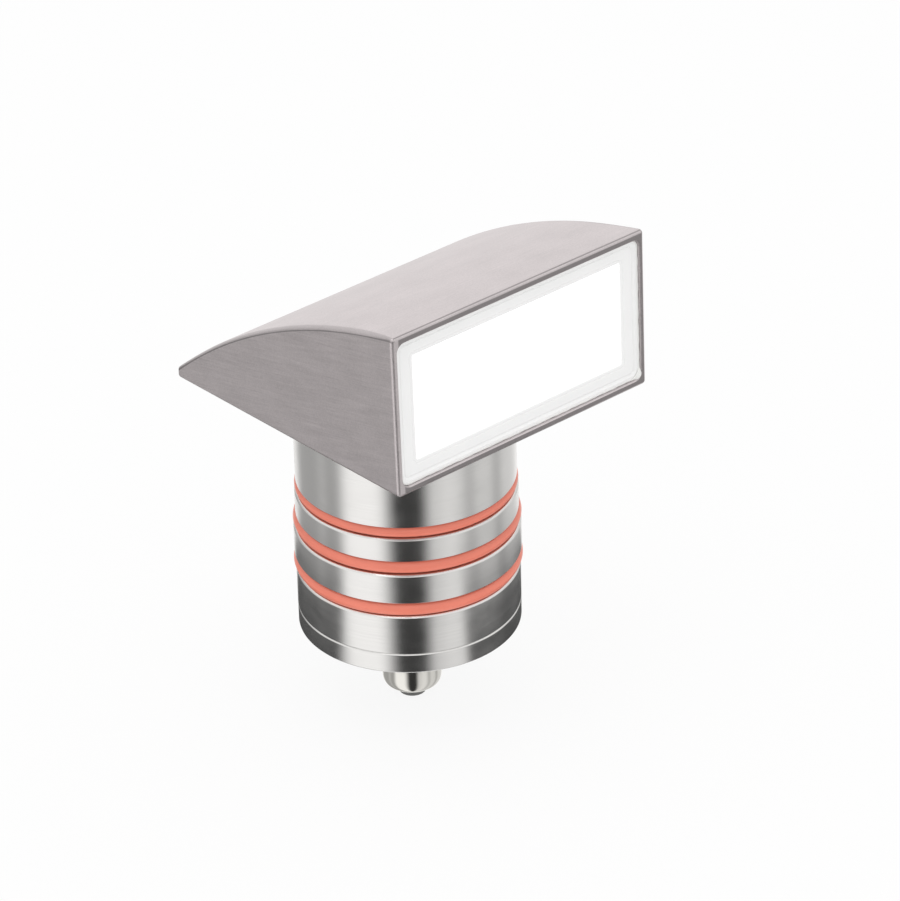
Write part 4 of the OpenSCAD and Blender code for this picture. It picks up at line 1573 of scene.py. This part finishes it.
@dataclass
class CableGland:
    """The metal cable gland: stem with a hexagon, dome nut and rubber sleeve."""

    flats: float = 14.0
    hex_bevel: float = 0.84
    hex_edge: float = 0.25
    hex_edge_steps: int = 4
    hex_clear: float = 0.4
    hex_drop: float = 0.2
    thread_radius: float = 6.0
    thread_depth: float = 0.6
    thread_bevel: float = 0.5
    thread_lead: float = 0.4
    thread_end: float = 0.2
    undercut: float = 0.3
    bore: float = 3.6
    seat_radius: float = 5.05
    seat_top: float = -66.4
    stem_top: float = -54.6
    hex_top: float = -61.0
    hex_bottom: float = -65.0
    stem_bottom: float = -70.0
    nut_top: float = -65.3
    nut_hex_bottom: float = -70.3
    nut_bottom: float = -77.4
    nut_bore: float = 6.12
    nut_bore_bevel: float = 0.35
    nut_thread_depth: float = 0.5
    nut_thread_lead: float = 0.3
    nut_shoulder: float = -74.9
    chamber_radius: float = 5.3
    dome_radius: float = 6.7
    dome_reach: float = 1.7
    dome_height: float = 3.2
    dome_fullness: float = 2.8
    dome_step: float = 0.12
    dome_steps: int = 20
    mouth: float = 3.25
    mouth_rounding: float = 0.3
    mouth_steps: int = 3
    nose: float = 3.025
    cable_bore: float = 2.5
    nose_bevel: float = 0.1
    sleeve_bevel: Point2 = (0.2, 0.3)
    sleeve_rounding: float = 0.2
    sleeve_steps: int = 4
    sleeve_segments: int = 72
    segments: int = 96

    @property
    def hex_corner(self) -> float:
        """Distance of a hexagon's corners from the axis."""
        return self.flats / 2 / math.cos(math.pi / 6)

    def hexagon(self, bottom: float, top: float) -> Piece:
        """Make a hexagonal bar whose long edges are slightly rounded.

        Args:
            bottom: the lower end of what it goes round.
            top: the upper end of what it goes round.

        Returns:
            The bar, longer by the overrun at both ends.
        """
        angles = [math.pi / 3 * i for i in range(6)]
        points = [(self.hex_corner * math.cos(a), self.hex_corner * math.sin(a)) for a in angles]
        outline = softened(points, self.hex_edge, self.hex_edge_steps)
        return prism("hex_bar", outline, bottom - OVERRUN, top + OVERRUN)

    def hex_side(self, top: float, bottom: float) -> list[Point2]:
        """Return the stretch of a profile that passes outside a hexagon and bevels its corners.

        Args:
            top: the hexagon's upper end.
            bottom: its lower end.

        Returns:
            Radius and height pairs from the top down.
        """
        inner, outer = self.hex_corner - self.hex_bevel, self.hex_corner + self.hex_clear
        drop = self.hex_bevel + self.hex_drop
        return [(inner, top), (outer, top - drop), (outer, bottom + drop), (inner, bottom)]

    def stem(self) -> Piece:
        """Make the stem: its entry thread, hexagon and clamp thread.

        Returns:
            The stem's piece.
        """
        end, neck = self.thread_radius - self.thread_bevel, self.thread_radius - self.undercut
        profile: Profile = [(self.bore, self.stem_top), (end, self.stem_top)]
        profile += thread(self.thread_radius, self.stem_top - self.thread_lead,
                          self.hex_top + self.thread_end, self.thread_depth)
        profile += [(neck, self.hex_top), *self.hex_side(self.hex_top, self.hex_bottom),
                    (neck, self.hex_bottom)]
        profile += thread(self.thread_radius, self.hex_bottom - self.thread_end,
                          self.stem_bottom + self.thread_lead, self.thread_depth)
        profile += [(end, self.stem_bottom), (self.seat_radius, self.stem_bottom),
                    (self.seat_radius, self.seat_top), (self.bore, self.seat_top)]
        stem = turned("gland_stem", profile, self.segments)
        carve(stem, [self.hexagon(self.stem_bottom, self.stem_top)], Cut.INSIDE)
        return fit(stem, Body.CAP, NICKEL, "gland_body")

    def dome(self) -> list[Point2]:
        """Return the dome's outside, from its foot under the hexagon down to the rounded mouth.

        Returns:
            Radius and height pairs.
        """
        power = 2 / self.dome_fullness
        points = []
        for across, down in arc((0.0, 0.0), 1.0, 0.0, math.pi / 2, self.dome_steps):
            points.append((self.dome_radius - self.dome_reach * (1 - max(0.0, across) ** power),
                           self.nut_bottom + self.dome_height * (1 - down ** power)))
        r = self.mouth_rounding
        centre = (self.mouth + r, self.nut_bottom + r)
        return points + arc(centre, r, 1.5 * math.pi, math.pi, self.mouth_steps)

    def nut(self) -> Piece:
        """Make the dome nut with its hexagon, dome, mouth and inner thread.

        Returns:
            The nut's piece.
        """
        profile: Profile = [(self.nut_bore + self.nut_bore_bevel, self.nut_top),
                            *self.hex_side(self.nut_top, self.nut_hex_bottom),
                            (self.dome_radius + self.dome_step, self.nut_hex_bottom),
                            (self.dome_radius, self.nut_hex_bottom - self.dome_step),
                            *self.dome(), (self.mouth, self.nut_shoulder),
                            (self.chamber_radius, self.nut_shoulder),
                            (self.chamber_radius, self.nut_hex_bottom)]
        profile += thread(self.nut_bore, self.nut_hex_bottom + self.thread_end,
                          self.nut_top - self.nut_thread_lead, -self.nut_thread_depth)
        nut = turned("gland_dome_nut", profile, self.segments)
        carve(nut, [self.hexagon(self.nut_bottom, self.nut_top)], Cut.INSIDE)
        return fit(nut, Body.NUT, NICKEL, "gland_nut")

    def sleeve(self) -> Piece:
        """Make the rubber sleeve that grips the cable, with its rounded nose.

        Returns:
            The sleeve's piece.
        """
        low, high = corners("gland_insert")
        collar_bottom = corners("gland_claw")[0].z
        wider, deeper = self.sleeve_bevel
        outline = [(self.cable_bore + self.nose_bevel, low.z), (self.nose, low.z),
                   (self.nose, collar_bottom), (high.x, collar_bottom), (high.x, high.z),
                   (self.cable_bore + wider, high.z), (self.cable_bore, high.z - deeper),
                   (self.cable_bore, low.z + self.nose_bevel)]
        profile = softened(outline, self.sleeve_rounding, self.sleeve_steps)
        sleeve = turned("gland_sleeve", profile, self.sleeve_segments)
        return fit(sleeve, Body.CAP, GLAND_RUBBER, "gland_insert")

    def build(self) -> list[Piece]:
        """Make the stem, the nut and the sleeve."""
        return [self.stem(), self.nut(), self.sleeve()]


@dataclass
class InnerParts:
    """The pieces inside the light, whose CAD shapes stay and get their finishes here."""

    finishes: dict[str, Finish] = field(default_factory=lambda: {
        "lens_seal": WHITE_SILICONE, "light_chamber": WHITE_PLASTIC, "light_board": BOARD_WHITE,
        "light_emitters": EMITTER, "light_board_screws": SCREW_STEEL, "thermal_pad": THERMAL_PAD,
        "heat_spreader": ALLOY, "spreader_screws": SCREW_STEEL, "hood_locknut": CANISTER_STEEL,
        "driver_cradle": BLACK_PLASTIC, "cradle_screws": SCREW_STEEL, "insulating_liner": LINER_FILM,
        "driver_board": BOARD_GREEN, "smoothing_capacitors": CAPACITOR_SLEEVE,
        "driver_chips": BLACK_PLASTIC, "output_plug": WHITE_PLASTIC, "input_terminal": TERMINAL_GREEN,
        "terminal_screws": SCREW_STEEL, "lead_wires": LEAD_RED, "gland_washer": BLACK_PLASTIC,
        "gland_claw": BLACK_PLASTIC, "gland_slip_ring": WHITE_PLASTIC})

    def build(self) -> list[Piece]:
        """Dress the CAD nodes that stay.

        Returns:
            The dressed nodes.
        """
        low, high = corners("inductor")
        winding = replace(COPPER_WINDING, centre=tuple((low + high) / 2))
        dressed = []
        for node, finish in {**self.finishes, "inductor": winding}.items():
            finish.dress(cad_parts[node])
            dressed.append(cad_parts[node])
        return dressed


@dataclass(frozen=True)
class Panel:
    """A soft-edged upright strip of the studio wall: its place and width in degrees, and its level."""

    centre: float
    half_width: float
    edge: float
    level: float

    @property
    def behind(self) -> bool:
        """Whether its middle is straight behind the light, where the angle's sign changes."""
        return abs(self.centre) == 180


@dataclass
class Studio:
    """The photograph's camera, a pale floor, and a soft white studio with lighter and darker panels."""

    azimuth: float = -41.202
    elevation: float = 29.780
    roll: float = -1.459
    distance: float = 968.299
    aside: float = -10.125
    above: float = 16.053
    focal_length: float = 180.0
    sensor: float = 36.0
    clip_start: float = 10.0
    clip_end: float = 20000.0
    floor_gap: float = 0.1
    floor_size: float = 6000.0
    floor_paper: Colour = (0.93, 0.93, 0.93)
    floor_shade: float = 0.004
    floor_grain: float = 2.0
    floor_glow: float = 0.88
    wall_level: float = 0.75
    ceiling_level: float = 1.0
    ceiling_edge: Point2 = (0.1, 0.55)
    room_level: float = 0.92
    shine_colour: tuple[float, ...] = (1.0, 0.99, 0.98, 1.0)
    panels: tuple[Panel, ...] = (
        Panel(-108, 37, 9, 0.42),
        Panel(-97, 6, 5, 0.54),
        Panel(-47, 21, 8, 1.12),
        Panel(47, 10, 7, 0.86),
        Panel(69, 6, 5, 0.56),
        Panel(108, 7, 6, 0.5),
        Panel(1.5, 19, 9, 0.04),
        Panel(180, 28, 14, 1.05),
    )
    card_level: float = 0.07
    # painted shadow: a dark ring round the foot, standing in for the light's shadow on the floor as the
    # metal reflects it
    card_painted_shadow: Band = Band(20.0, 21.0, 27.0, 28.0)
    card_reach: Band = Band(30.0, 36.0, 74.0, 95.0)
    card_sides: tuple[Point2, ...] = ((-62, -142), (49, 146))
    card_side_edge: float = 6.0
    lamp_place: Point3 = (-250.0, -150.0, 900.0)
    lamp_size: float = 500.0
    lamp_power: float = 1.2

    def camera(self) -> None:
        """Stand the camera where the photograph was taken from."""
        a, e, r = (math.radians(v) for v in (self.azimuth, self.elevation, self.roll))
        back = Vector((math.sin(a) * math.cos(e), -math.cos(a) * math.cos(e), math.sin(e)))
        level = Vector((0, 0, 1)).cross(back).normalized()
        upright = back.cross(level)
        across = level * math.cos(r) + upright * math.sin(r)
        upward = upright * math.cos(r) - level * math.sin(r)
        place = (back * self.distance - across * self.aside - upward * self.above) * MM
        data = bpy.data.cameras.new("photo_camera")
        data.lens = self.focal_length
        data.sensor_width = self.sensor
        data.sensor_fit = "HORIZONTAL"
        data.clip_start = self.clip_start * MM
        data.clip_end = self.clip_end * MM
        camera = bpy.data.objects.new("photo_camera", data)
        turn = Matrix((across, upward, back)).transposed().to_4x4()
        camera.matrix_world = Matrix.Translation(place) @ turn
        bpy.context.scene.collection.objects.link(camera)
        bpy.context.scene.camera = camera

    def floor(self) -> None:
        """Lay the pale floor under the light, seen white by the camera but for the light's own shadow."""
        half = self.floor_size / 2
        height = CAD_BOX[0].z / MM - self.floor_gap
        floor = sheet("studio_floor", [(x * half, y * half, height)
                                       for x, y in ((-1, -1), (1, -1), (1, 1), (-1, 1))])
        made = bpy.data.materials.new("floor_paper")
        graph = Graph(made)
        colour = graph.tint(graph.grain(graph.place(), self.floor_grain), self.floor_paper, self.floor_shade)
        paper = graph.add("BsdfDiffuse", {"Color": colour})
        glow = graph.glow(Glow.SURFACE, 1.0)
        seen = graph.times(self.seen_directly(graph), self.floor_glow)
        above = graph.over(seen, paper, glow)
        below = graph.add("BsdfTransparent")
        graph.show(graph.over(graph.add("NewGeometry").outputs["Backfacing"], above, below))
        floor.data.materials.append(made)
        floor.visible_glossy = False

    def card(self) -> None:
        """Lay dark card round the light's foot, with gaps front and back; its ring round the foot is painted
        shadow, standing in for the light's shadow on the floor. It shows only in reflections.
        """
        height = CAD_BOX[0].z / MM - self.floor_gap / 2
        card = sheet("dark_card", [(x, y, height) for x, y in circle(self.card_reach.fall_end)])
        made = bpy.data.materials.new("card_black")
        graph = Graph(made)
        place = graph.place()
        angle = self.angle_round(graph, place)
        radius = graph.times(graph.from_axis(place), 1 / MM)
        soft = math.radians(self.card_side_edge)
        sides: Input = 0.0
        for front, back in self.card_sides:
            turned_away = graph.times(angle, math.copysign(1.0, front))
            start, end = abs(math.radians(front)), abs(math.radians(back))
            side = graph.band(turned_away, Band(start - soft, start + soft, end - soft, end + soft))
            sides = graph.math("ADD", sides, side)
        sides = graph.times(sides, graph.band(radius, self.card_reach))
        # the ring round the foot is painted shadow
        dark = graph.math("MAXIMUM", sides, graph.band(radius, self.card_painted_shadow))
        clear = graph.add("BsdfTransparent")
        graph.show(graph.over(dark, clear, graph.glow(Glow.SURFACE, self.card_level)))
        card.data.materials.append(made)
        card.visible_camera = card.visible_diffuse = card.visible_shadow = card.visible_transmission = False

    def angle_round(self, graph: Graph, way: Socket) -> Socket:
        """Return how far a place or a direction is turned from the camera's side.

        Args:
            graph: the graph that gets the nodes.
            way: the place or direction.

        Returns:
            The angle in radians, positive towards the right.
        """
        a = math.radians(self.azimuth)
        right, near = (math.cos(a), math.sin(a), 0), (math.sin(a), -math.cos(a), 0)
        aside = graph.add("VectorMath", {0: way, 1: right}, operation="DOT_PRODUCT")
        towards = graph.add("VectorMath", {0: way, 1: near}, operation="DOT_PRODUCT")
        return graph.math("ARCTAN2", aside.outputs["Value"], towards.outputs["Value"])

    def seen_directly(self, graph: Graph) -> Socket:
        """Return 1 for rays from the camera, reflected ones and ones through glass, and else 0.

        Args:
            graph: the graph that gets the nodes.

        Returns:
            The socket of that number.
        """
        path = graph.add("LightPath").outputs
        seen = graph.math("MAXIMUM", path["Is Camera Ray"], path["Is Glossy Ray"])
        return graph.math("MAXIMUM", seen, path["Is Transmission Ray"])

    def wall(self, graph: Graph) -> Socket:
        """Return the studio's level by direction: panels round the walls under a bright ceiling.

        Args:
            graph: the world's graph.

        Returns:
            The level's socket.
        """
        way = graph.place("Generated")
        angle = self.angle_round(graph, way)
        level: Input = self.wall_level
        for panel in self.panels:
            if panel.behind:
                away = graph.math("SUBTRACT", math.pi, graph.math("ABSOLUTE", angle))
            else:
                away = graph.math("ABSOLUTE", graph.math("SUBTRACT", angle, math.radians(panel.centre)))
            inner = math.radians(panel.half_width - panel.edge)
            outer = math.radians(panel.half_width + panel.edge)
            level = graph.mix(Mixed.NUMBERS, graph.ramp(away, outer, inner), level, panel.level)
        upward = graph.ramp(graph.split(way)[2], *self.ceiling_edge)
        return graph.mix(Mixed.NUMBERS, upward, level, self.ceiling_level)

    def world(self) -> None:
        """Make the white studio round the light, whose panels show only in reflections."""
        world = bpy.data.worlds.new("studio")
        bpy.context.scene.world = world
        graph = Graph(world)
        path = graph.add("LightPath").outputs
        shine = graph.glow(Glow.STUDIO, self.wall(graph), self.shine_colour)
        room = graph.glow(Glow.STUDIO, self.room_level)
        white = graph.glow(Glow.STUDIO, 1.0)
        lit = graph.over(path["Is Glossy Ray"], room, shine)
        plain = graph.math("MAXIMUM", path["Is Camera Ray"], path["Is Transmission Ray"])
        graph.show(graph.over(plain, lit, white), Output.WORLD)

    def softbox(self) -> None:
        """Hang a square soft lamp over the light and point it at the frame's origin."""
        data = bpy.data.lights.new("overhead_softbox", "AREA")
        data.size = self.lamp_size * MM
        data.energy = self.lamp_power
        lamp = bpy.data.objects.new("overhead_softbox", data)
        lamp.location = Vector(self.lamp_place) * MM
        lamp.rotation_mode = "QUATERNION"
        lamp.rotation_quaternion = Vector(self.lamp_place).to_track_quat("Z", "Y")
        bpy.context.scene.collection.objects.link(lamp)

    def build(self) -> None:
        """Set up the camera, the floor, the card, the world and the lamp."""
        bpy.context.scene.view_settings.view_transform = "Standard"
        self.camera()
        self.floor()
        self.card()
        self.world()
        self.softbox()


def main() -> None:
    """Build the studio and the light, and report each piece."""
    logging.basicConfig(level=logging.INFO, format="%(name)s: %(message)s")
    Studio().build()
    hood = Hood()
    rings = [SealingRing("o_ring_top", slimmer=0.05, sunk=0.25, drop=0.1),
             SealingRing("o_ring_middle", slimmer=0.05, sunk=0.15, drop=0.1), SealingRing("o_ring_bottom")]
    seals = [SealingRing("shoulder_seal"), SealingRing("cap_seal", body=Body.CAP_THREAD)]
    pieces = [hood.build(), *LensUnit(hood).build(), Canister(rings).build()]
    pieces += [ring.build() for ring in rings + seals]
    pieces += [RearCap().build(), *CableGland().build(), *InnerParts().build()]
    for piece in pieces:
        LOG.info("%s: %d faces", piece.name, len(piece.data.polygons))
    bpy.context.view_layer.update()


if __name__ == "__main__":
    main()
